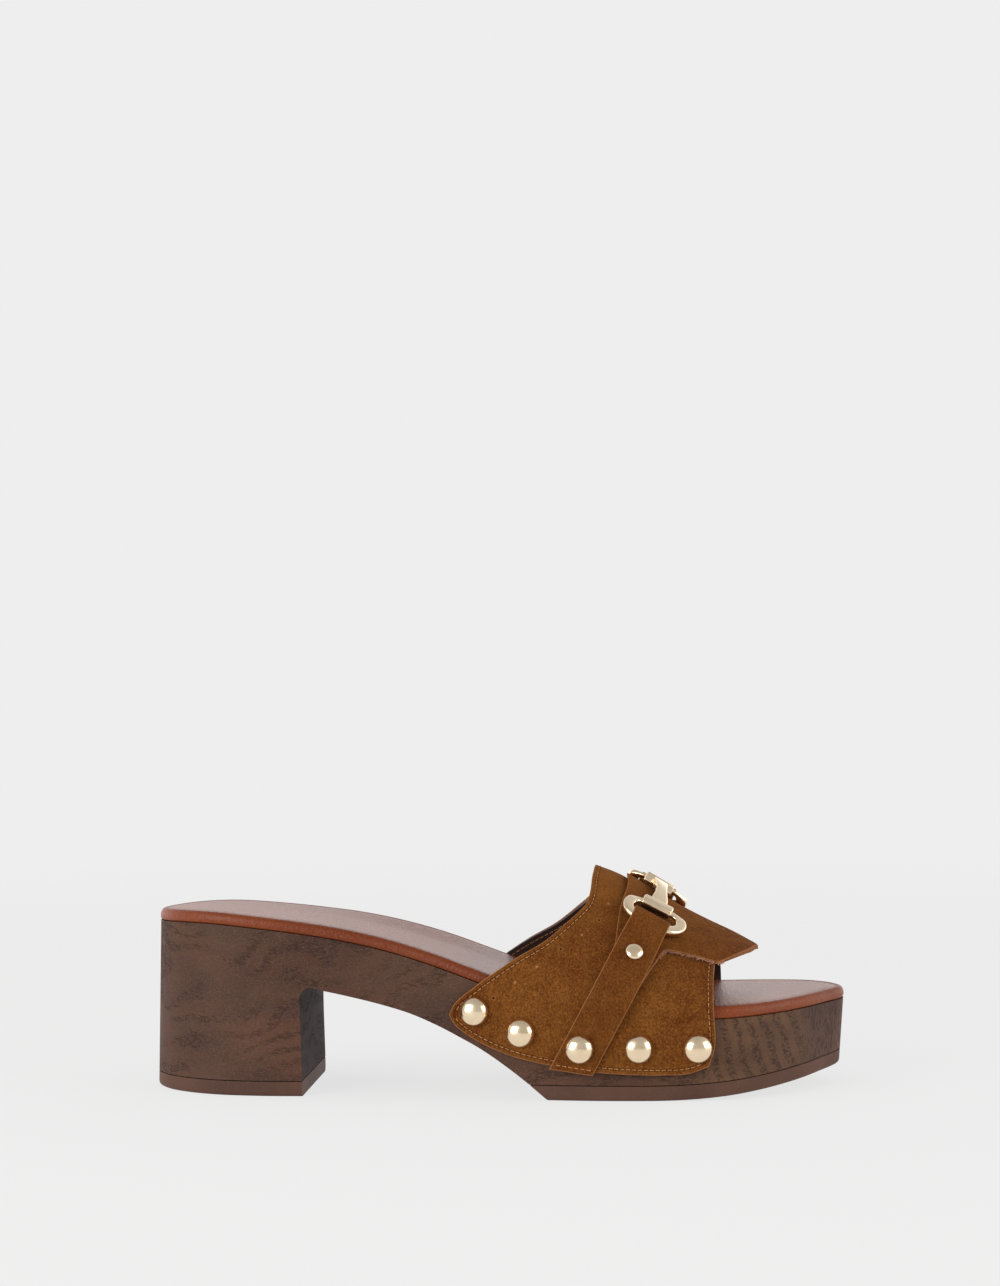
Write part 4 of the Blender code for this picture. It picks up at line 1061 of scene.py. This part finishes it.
flap_rear = edge_line(FLAP_REAR, INSTEP_RISE, PLATFORM_HEIGHT, 300)
flap_front = flap_edge(300)
flap_rear[-1, 1] = 0.0
tail = np.linspace(flap_rear[0], flap_front[0], 60)
ridge = np.linspace(flap_rear[-1], flap_front[-1], 60)
flap_u = even_share(FLAP_COLUMNS, 30.0)
flap_v = even_share(FLAP_ROWS, 55.0, both=False)
flap_patch = patch_of(flap_rear, flap_front, tail, ridge, flap_u, flap_v)
flap_x, flap_girth = flap_patch[..., 0], np.maximum(flap_patch[..., 1], 0.0)
flap_border = border_of((flap_rear, tail, flap_front), CLEARANCE + FLAP_WALL)
grids, rims = hide_grids(flap_x, flap_girth, CLEARANCE + FLAP_WALL, CLEARANCE, 0.3, flap_border)
rims = [np.minimum(rim, UNSEWN_RIM) for rim in rims]
flap = mesh_of("suede_flap", grids, [tan_suede, raw_edge, raw_edge], rims, 50.0)
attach(flap, "root")
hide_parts("instep_flap")

FIBRES = 260
FIBRE_SPAN = (0.738, 0.828)
FIBRE_LENGTH = 1.0
FIBRE_RADIUS = 0.11


def fibre_grids(side, chance):
    """Loose fibres along the flap's lower front edge: thin bent threads that start at random
    places in the cut and lean away from it."""
    at = np.linspace(0.0, 1.0, len(flap_front))
    shares = flap_front[:, 0] / SHOE_LENGTH + 0.5
    ends = np.interp(FIBRE_SPAN, shares, at)
    where = chance.uniform(*ends, FIBRES)
    x, girth = pick(flap_front, where, at).T
    lift = CLEARANCE + chance.uniform(0.2, 0.9, FIBRES) * FLAP_WALL
    start = section(x, girth, side, lift)
    edge = unit(section(*pick(flap_front, where + 0.01, at).T, side, lift) - start)
    up = outward(x, girth, side, lift)
    lean = np.cross(up, edge) * -side
    lean = lean + 0.9 * chance.normal(size=(FIBRES, 1)) * edge
    lean = unit(lean + 0.35 * chance.normal(size=(FIBRES, 1)) * up)
    curl = 0.6 * chance.normal(size=(FIBRES, 1)) * edge + 0.3 * up
    length = FIBRE_LENGTH * chance.uniform(0.4, 1.3, (FIBRES, 1, 1))
    run = np.array([-0.2, 0.3, 0.7, 1.0])[None, :, None] * length
    line = start[:, None] + lean[:, None] * run + curl[:, None] * run ** 2 / length * 0.6
    turn = np.arange(4) * 2 * math.pi / 3
    radius = FIBRE_RADIUS * np.array([1.0, 0.9, 0.7, 0.3])[None, :, None, None]
    tubes = line[:, :, None] + radius * (edge[:, None, None] * np.cos(turn)[:, None]
                                         + up[:, None, None] * np.sin(turn)[:, None])
    return [(tube, 0) for tube in tubes]


chance = np.random.default_rng(4)
flesh = finish_named("pale_fibres")
pale_fibres = flesh.set(Base_Color=linear(190, 140, 112), Roughness=0.9, Specular_IOR_Level=0.1)
fibre_tubes = fibre_grids(-1, chance) + fibre_grids(1, chance)
fibres = mesh_of("flap_fibres", fibre_tubes, [pale_fibres], crease=80.0)
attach(fibres, "root")


# The two straps: strips of suede from the sole's side up over the flap's tail, round the bit's
# rings and back under themselves to a rivet. One short row of stitches crosses each foot.

STRAP_WIDTH = 14.2
STRAP_TOP_WIDTH = 13.6
STRAP_WALL = 1.4
STRAP_RETURN_WALL = 0.8
STRAP_FOOT = (0.6145, 0.370)
STRAP_FOOT_SLANT = 0.37
STRAP_SEAM_INSET = 1.9
STRAP_STEPS = 130
FOLD_STEPS = 16
RETURN_STEPS = 30
RETURN_PAST_RIVET = 6.0
RIVET_FROM_BIT = 36.0
BIT_SIDE_SHIFT = -7.2
BIT_TWIST = 3.2
BAR_REACH = 12.5
RING_BEND = 4.7
WIRE_DIAMETER = 3.1
FOLD_CLEARANCE = 0.3
RING_FAR_END = BAR_REACH + 2 * RING_BEND
ON_FLAP = CLEARANCE + FLAP_WALL + CLEARANCE

# Height of the rings' wire off the band, over the strap's end that is laid back under it
RING_LIFT = ON_FLAP + STRAP_RETURN_WALL + FOLD_CLEARANCE + WIRE_DIAMETER / 2


def strap_line(turn, lift):
    """Centre line of the straps and the bit, over the instep in a plane square to its slope.
    Turn runs from -2, on the floor outside, over the ridge at 0 to 2, on the floor inside."""
    side_points = []
    foot_x = along(STRAP_FOOT[0])
    foot_z = STRAP_FOOT[1] * PLATFORM_HEIGHT
    for side in (-1, 1):
        x = np.full(turn.shape, foot_x)
        for _ in range(30):
            point = section(x, np.abs(turn), side, lift)
            twist = ramp(point[..., 1], -18.0, 6.0) * (1.0 - ramp(point[..., 1], 14.0, 40.0))
            x = foot_x + STRAP_SLANT * (point[..., 2] - foot_z) - BIT_TWIST * twist
        side_points.append(section(x, np.abs(turn), side, lift))
    return np.where(turn[..., None] < 0.0, side_points[0], side_points[1])


TURNS = np.linspace(-1.9, 1.9, 761)
LINE = strap_line(TURNS, 0.0)
LENGTHS = lengths_along(LINE)
LENGTHS -= np.interp(BIT_SIDE_SHIFT, LINE[:, 1], LENGTHS)


def on_instep(across, girdle, lift):
    """A point given by its distance across the strap, its distance round the foot from the bit's
    middle, towards the inner side, and its height off the band."""
    across, girdle, lift = np.broadcast_arrays(across, girdle, lift)
    turn = np.interp(girdle, LENGTHS, TURNS)
    centre = strap_line(turn, lift)
    slope = math.hypot(1.0, STRAP_SLANT)
    x = centre[..., 0] + across / slope
    z = centre[..., 2] - across * STRAP_SLANT / slope
    points = []
    for side in (-1, 1):
        girth = np.abs(turn)
        by_height = girth_at(x, z, side, lift)
        girth = girth + (by_height - girth) * ramp(girth, 0.20, 0.45)
        points.append(section(x, girth, side, lift))
    return np.where(turn[..., None] < 0.0, points[0], points[1])


def strap_route(side):
    """Middle line of a strap's leather, as distance round the foot and height off the band: up
    from the sole's side, over the flap's tail, round the ring and back under itself."""
    foot_height = STRAP_FOOT[1] * PLATFORM_HEIGHT
    foot_turn = girth_at(np.array(along(STRAP_FOOT[0])), np.array(foot_height), side, 0.0)
    tail_height = PLATFORM_HEIGHT + INSTEP_RISE * FLAP_FRONT[0][1] - 3.0
    tail_turn = girth_at(np.array(along(FLAP_REAR[0][0])), np.array(tail_height), side, 0.0)
    foot_at = abs(np.interp(side * foot_turn, TURNS, LENGTHS))
    tail_at = abs(np.interp(side * tail_turn, TURNS, LENGTHS))
    half = STRAP_WALL / 2
    on_band = CLEARANCE + half
    back = ON_FLAP + STRAP_RETURN_WALL / 2
    on_back = ON_FLAP + STRAP_RETURN_WALL + CLEARANCE + half
    over = RING_LIFT + WIRE_DIAMETER / 2 + FOLD_CLEARANCE + half
    return_end = RIVET_FROM_BIT + RETURN_PAST_RIVET
    turn_in = RING_FAR_END - CLEARANCE
    keys = [(foot_at, on_band), (tail_at + 4.0, on_band), (tail_at, ON_FLAP + half),
            (return_end + 4.5, ON_FLAP + half), (return_end, on_back),
            (RING_FAR_END + 7.0, on_back), (RING_FAR_END + 2.0, over), (turn_in, over)]
    at, height = np.array(keys[::-1]).T
    coarse = np.linspace(foot_at, turn_in, int(round((foot_at - turn_in) / 3.0)) + 1)
    shaped = np.stack([coarse[::-1], np.interp(coarse[::-1], at, height)], 1)
    fine = np.linspace(foot_at, turn_in, STRAP_STEPS)
    up = np.stack([fine, curve(shaped, fine)], 1)
    radius = (over - back) / 2
    bend = np.linspace(math.pi / 2, -math.pi / 2, FOLD_STEPS + 1)[1:]
    fold = np.stack([turn_in - radius * np.cos(bend), back + radius * (1 + np.sin(bend))], 1)
    home = np.linspace(RING_FAR_END + 3.0, return_end, RETURN_STEPS)
    route = np.concatenate([up, fold, np.stack([home, np.full(RETURN_STEPS, back)], 1)])
    walls = np.concatenate([np.full(STRAP_STEPS, STRAP_WALL),
                            np.linspace(STRAP_WALL, STRAP_RETURN_WALL, FOLD_STEPS),
                            np.full(RETURN_STEPS, STRAP_RETURN_WALL)])
    return route, walls, foot_at


def strap_grids(side):
    """A strap's two faces and its cut edges: its route carried across its width, with the long
    edges rounded over and its foot cut on the slant."""
    route, walls, foot_at = strap_route(side)
    tangent = unit(np.gradient(route, axis=0))
    normal = np.stack([tangent[:, 1], -tangent[:, 0]], 1)
    at_ring = 1.0 - ramp(route[:, 0], RING_FAR_END, RING_FAR_END + 14.0)
    width = STRAP_WIDTH + (STRAP_TOP_WIDTH - STRAP_WIDTH) * at_ring
    shares = even_share(18, STRAP_WIDTH) - 0.5
    across = shares[None] * width[:, None]
    long_edge = width[:, None] / 2 - np.abs(across)
    on_return = np.arange(len(route))[:, None] > STRAP_STEPS
    rim = np.where(on_return, long_edge, np.minimum(long_edge, foot_at - route[:, :1]))
    drop = edge_round(rim, 0.3)[..., None]
    faces = []
    for sign, fall in ((1.0, drop), (-1.0, 0.0 * drop)):
        line = route[:, None] + normal[:, None] * (walls[:, None, None] / 2 - fall) * sign
        shear = STRAP_FOOT_SLANT * across * (1.0 - ramp(foot_at - line[..., 0], 0.0, 14.0))
        faces.append(on_instep(across, side * (line[..., 0] - shear), line[..., 1]))
    return faces_and_cuts(*faces, rim)


# Under each ring the folded strap presses on the flap and shades it: painted shade, the nap laid
# near-black round these points.
SHADED_ACROSS = (-4.2, -1.4, 1.4, 4.2)
SHADED_GIRDLE = 17.0
shaded_points = [tuple(on_instep(across, side * SHADED_GIRDLE, CLEARANCE + FLAP_WALL) * MM)
           for side in (-1, 1) for across in SHADED_ACROSS]
flap.data.materials[0] = suede_finish("flap_suede", 0.12, shaded_points)
deep_suede = suede_finish("strap_suede", 0.36)

for side, label in ((-1, "outer"), (1, "inner")):
    grids, rims = strap_grids(side)
    rims = [np.minimum(rim, UNSEWN_RIM) for rim in rims]
    strap = mesh_of("suede_strap_" + label, grids, [deep_suede, raw_edge, raw_edge], rims, 50.0)
    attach(strap, "root")
    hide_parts("strap_" + label)
    _, _, foot_at = strap_route(side)
    sew_across = np.linspace(-0.42, 0.42, 30) * STRAP_WIDTH
    sew_lift = CLEARANCE + STRAP_WALL
    sew_girdle = side * (foot_at - STRAP_SEAM_INSET - STRAP_FOOT_SLANT * sew_across)
    sew_at = on_instep(sew_across, sew_girdle, sew_lift)
    sew_up = outward(sew_at[:, 0], girth_near(sew_at, side, sew_lift), side, sew_lift)
    sewn = mesh_of("strap_stitches_" + label, stitches([(sew_at, sew_up)]), [tan_thread], crease=80.0)
    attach(sewn, "root")


# The bit: two long rings of flattened wire joined by a waisted bar, whose collars turn on the
# rings' pins. All of it is cast, polished and plated in pale gold.

COLLAR_LENGTH = 11.4
COLLAR_WIDTH = 4.4
COLLAR_DEPTH = 4.0
RING_STRAIGHT = 10.6
RING_SHIFT = 0.5
RING_WIDENING = 1.28
RING_FLATTENING = 0.84
RING_DROOP = 15.0
PIN_DIAMETER = 1.8
WIRE_SQUARENESS = 3.2
BAR_SQUARENESS = 5.0

brass = finish_named("pale_gold_plating")
smear = brass.noise(260.0, 2.0)
gold_tone = brass.mix(smear.step(0.3, 0.7), (0.87, 0.69, 0.47), (0.92, 0.75, 0.53))
pale_gold = brass.set(Base_Color=gold_tone, Metallic=1.0, Roughness=0.19 + smear * 0.08,
                      Normal=brass.bump(smear, 0.00003))


def bit_frame(girdle, reach):
    """Middle, cross direction, running direction and outward direction of a flat piece that
    lies over the instep between two girdles, reach to each side of its own."""
    near, far = (on_instep(0.0, girdle + end, RING_LIFT) for end in (-reach, reach))
    run = unit(far - near)
    wide = on_instep(6.0, girdle, RING_LIFT) - on_instep(-6.0, girdle, RING_LIFT)
    wide = unit(wide - run * (wide @ run))
    return (near + far) / 2, wide, run, np.cross(wide, run)


def squared(angle, power):
    """Cosine and sine of an angle, carried out to a superellipse of the given power."""
    corner = (np.abs(np.cos(angle)) ** power + np.abs(np.sin(angle)) ** power) ** (1 / power)
    return np.cos(angle) / corner, np.sin(angle) / corner


def ring_grid(side):
    """A long flat ring: two straight sides and two round ends, its wire flattened a little and
    thinned to a pin inside its collar."""
    half = RING_STRAIGHT / 2
    straight = np.linspace(-1.0, 1.0, 17)[:-1]
    turn = np.linspace(0.0, math.pi, 33)[:-1]
    wire = WIRE_DIAMETER / 2
    across = np.concatenate([straight * half, half + RING_BEND * np.sin(turn),
                             -straight * half, -half - RING_BEND * np.sin(turn)])[:, None]
    away = np.concatenate([0 * straight - 1.0, -np.cos(turn), 0 * straight + 1.0, np.cos(turn)])[:, None]
    sideways = np.concatenate([0 * straight, np.sin(turn), 0 * straight, -np.sin(turn)])[:, None]
    radii = PIN_DIAMETER / 2 + (wire - PIN_DIAMETER / 2) * ramp(away, -0.95, -0.45)
    flat, high = squared(np.linspace(0.0, 2 * math.pi, 25), WIRE_SQUARENESS)
    reach = radii * flat * RING_WIDENING
    rise = radii * high * RING_FLATTENING
    middle, wide, run, out = bit_frame(side * (BAR_REACH + RING_BEND), RING_BEND)
    droop = math.radians(RING_DROOP) * (side > 0)
    hinge = middle - side * run * RING_BEND
    run = run * math.cos(droop) - out * math.sin(droop)
    out = np.cross(wide, run)
    middle = hinge + side * run * RING_BEND
    wide_by = (RING_SHIFT + across + sideways * reach)[..., None]
    run_by = (side * away * (RING_BEND + reach))[..., None]
    grid = middle + wide_by * wide + run_by * run + rise[..., None] * out
    return np.concatenate([grid, grid[:1]])


# Columns: distance from the bit's middle in bar reaches, half width, half depth
BAR_PROFILE = ((0.00, 2.10, 1.50), (0.22, 2.20, 1.50), (0.45, 2.55, 1.45), (0.65, 2.98, 1.40),
               (0.90, 3.15, 1.35))

# Columns: place along a collar in half lengths, its section's size
COLLAR_PROFILE = ((-1.00, 0.00), (-1.00, 0.60), (-0.985, 0.74), (-0.95, 0.84), (-0.92, 0.97),
                  (-0.88, 1.00), (0.00, 1.00), (0.88, 1.00), (0.92, 0.97), (0.95, 0.84),
                  (0.985, 0.74), (1.00, 0.60), (1.00, 0.00))


def collar_grid(side):
    """A collar: a barrel across the bar's end, flat above and towards the bar and round on the
    side of the ring, with a small step near each of its own ends."""
    middle, wide, run, out = bit_frame(side * BAR_REACH, COLLAR_WIDTH / 2)
    angle = np.linspace(0.0, 2 * math.pi, 49)
    flat, high = squared(angle, 2.1 + 3.4 * ramp(-np.cos(angle), -0.1, 0.3))
    at, size = (column[:, None, None] for column in np.array(COLLAR_PROFILE).T)
    run_by = side * size * COLLAR_WIDTH / 2 * flat[:, None]
    out_by = size * COLLAR_DEPTH / 2 * high[:, None]
    return middle + at * COLLAR_LENGTH / 2 * wide + run_by * run + out_by * out


def bar_grid():
    """The bar between its collars: a flat-topped section carried in a smooth line over the
    instep, waisted in the middle."""
    reach = np.linspace(-0.90, 0.90, 45)
    half_wide = curve([(a, b) for a, b, _ in BAR_PROFILE], np.abs(reach))
    half_deep = curve([(a, c) for a, _, c in BAR_PROFILE], np.abs(reach))
    flat, high = squared(np.linspace(0.0, 2 * math.pi, 41), BAR_SQUARENESS)
    ends = [bit_frame(side * BAR_REACH, COLLAR_WIDTH / 2) for side in (-1, 1)]
    share = (reach * 0.5 + 0.5)[:, None]
    blend = share * share * (3.0 - 2.0 * share)
    first, second = ends[0][0], ends[1][0]
    span = np.linalg.norm(second - first) * 1.05
    line = ((1 + 2 * share) * (1 - share) ** 2 * first + share * (1 - share) ** 2 * span * ends[0][2]
            + share ** 2 * (3 - 2 * share) * second - share ** 2 * (1 - share) * span * ends[1][2])
    cross = unit(ends[0][1] * (1 - blend) + ends[1][1] * blend)
    out = unit(np.cross(cross, np.gradient(line, axis=0)))
    return (line[:, None] + (half_wide[:, None] * flat)[..., None] * cross[:, None]
            + (half_deep[:, None] * high)[..., None] * out[:, None])


for side, label in ((-1, "outer"), (1, "inner")):
    ring_piece = mesh_of("gold_ring_" + label, [(ring_grid(side), 0)], [pale_gold], crease=60.0)
    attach(ring_piece, "root")
    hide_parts("bit_ring_" + label)
bar_parts = [(bar_grid(), 0), (collar_grid(-1), 0), (collar_grid(1), 0)]
bar = mesh_of("gold_bar", bar_parts, [pale_gold], crease=40.0)
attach(bar, "root")
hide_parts("bit_bar")


# The heads: five domed studs a side, nailed through the band into the base, and one small
# rivet through each strap, all plated as the bit is.

STUD_DIAMETER = 10.2
STUD_RISE = 4.0
RIVET_DIAMETER = 6.4
RIVET_RISE = 1.8
HEAD_RIM = 0.15
HEAD_SEAT = 0.1
HEAD_UNDERCUT = 0.25
HEAD_FULLNESS = 0.88

# Columns: share of the length, height in platform heights
STUDS = ((0.479, 1.092), (0.544, 0.840), (0.627, 0.660), (0.709, 0.660), (0.791, 0.660))
STRAP_STUD = 2


def dome_grid(centre, normal, diameter, rise):
    """A domed head with a rolled rim: part of a flattened ball carried round its axis."""
    tilt = np.linspace(0.0, 1.0, 15) * math.pi / 2
    half = diameter / 2
    radius = np.concatenate([[0.0, half - HEAD_UNDERCUT], half * np.cos(tilt) ** HEAD_FULLNESS])
    height = np.concatenate([[-HEAD_SEAT, -HEAD_SEAT], HEAD_RIM + (rise - HEAD_RIM) * np.sin(tilt)])
    spin = np.linspace(0.0, 2 * math.pi, 41)
    first = unit(np.cross((0.0, 0.0, 1.0), normal))
    second = np.cross(normal, first)
    flat = radius[:, None, None] * (np.cos(spin)[:, None] * first + np.sin(spin)[:, None] * second)
    return centre + flat + height[:, None, None] * normal


for side, label in ((-1, "outer"), (1, "inner")):
    for i, (share, height) in enumerate(STUDS):
        x = along(share)
        z = height * PLATFORM_HEIGHT
        lift = CLEARANCE + STRAP_WALL if i == STRAP_STUD else 0.0
        near = np.array([x - 1.0, x, x + 1.0])
        before, point, after = section(near, girth_at(near, z, side, lift), side, lift)
        normal = unit(np.cross(after - before, (0.0, 0.0, 1.0)) * -side)
        head = dome_grid(point + normal * SIDE_CLEARANCE * 0.5, normal, STUD_DIAMETER, STUD_RISE)
        stud = mesh_of(f"gold_stud_{label}_{i + 1}", [(head, 0)], [pale_gold], crease=60.0)
        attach(stud, "root")
        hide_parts(f"stud_{label}_{i + 1}")
    route, _, _ = strap_route(side)
    main = route[:STRAP_STEPS][::-1]
    lift = np.interp(RIVET_FROM_BIT, main[:, 0], main[:, 1]) + STRAP_WALL / 2
    girdle = side * RIVET_FROM_BIT
    point = on_instep(0.0, girdle, lift)
    step_x = on_instep(1.0, girdle, lift) - on_instep(-1.0, girdle, lift)
    step_y = on_instep(0.0, girdle + 1.0, lift) - on_instep(0.0, girdle - 1.0, lift)
    normal = unit(np.cross(step_x, step_y))
    head = dome_grid(point + normal * CLEARANCE * 0.5, normal, RIVET_DIAMETER, RIVET_RISE)
    rivet = mesh_of("gold_rivet_" + label, [(head, 0)], [pale_gold], crease=60.0)
    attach(rivet, "root")
    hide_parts("strap_rivet_" + label)
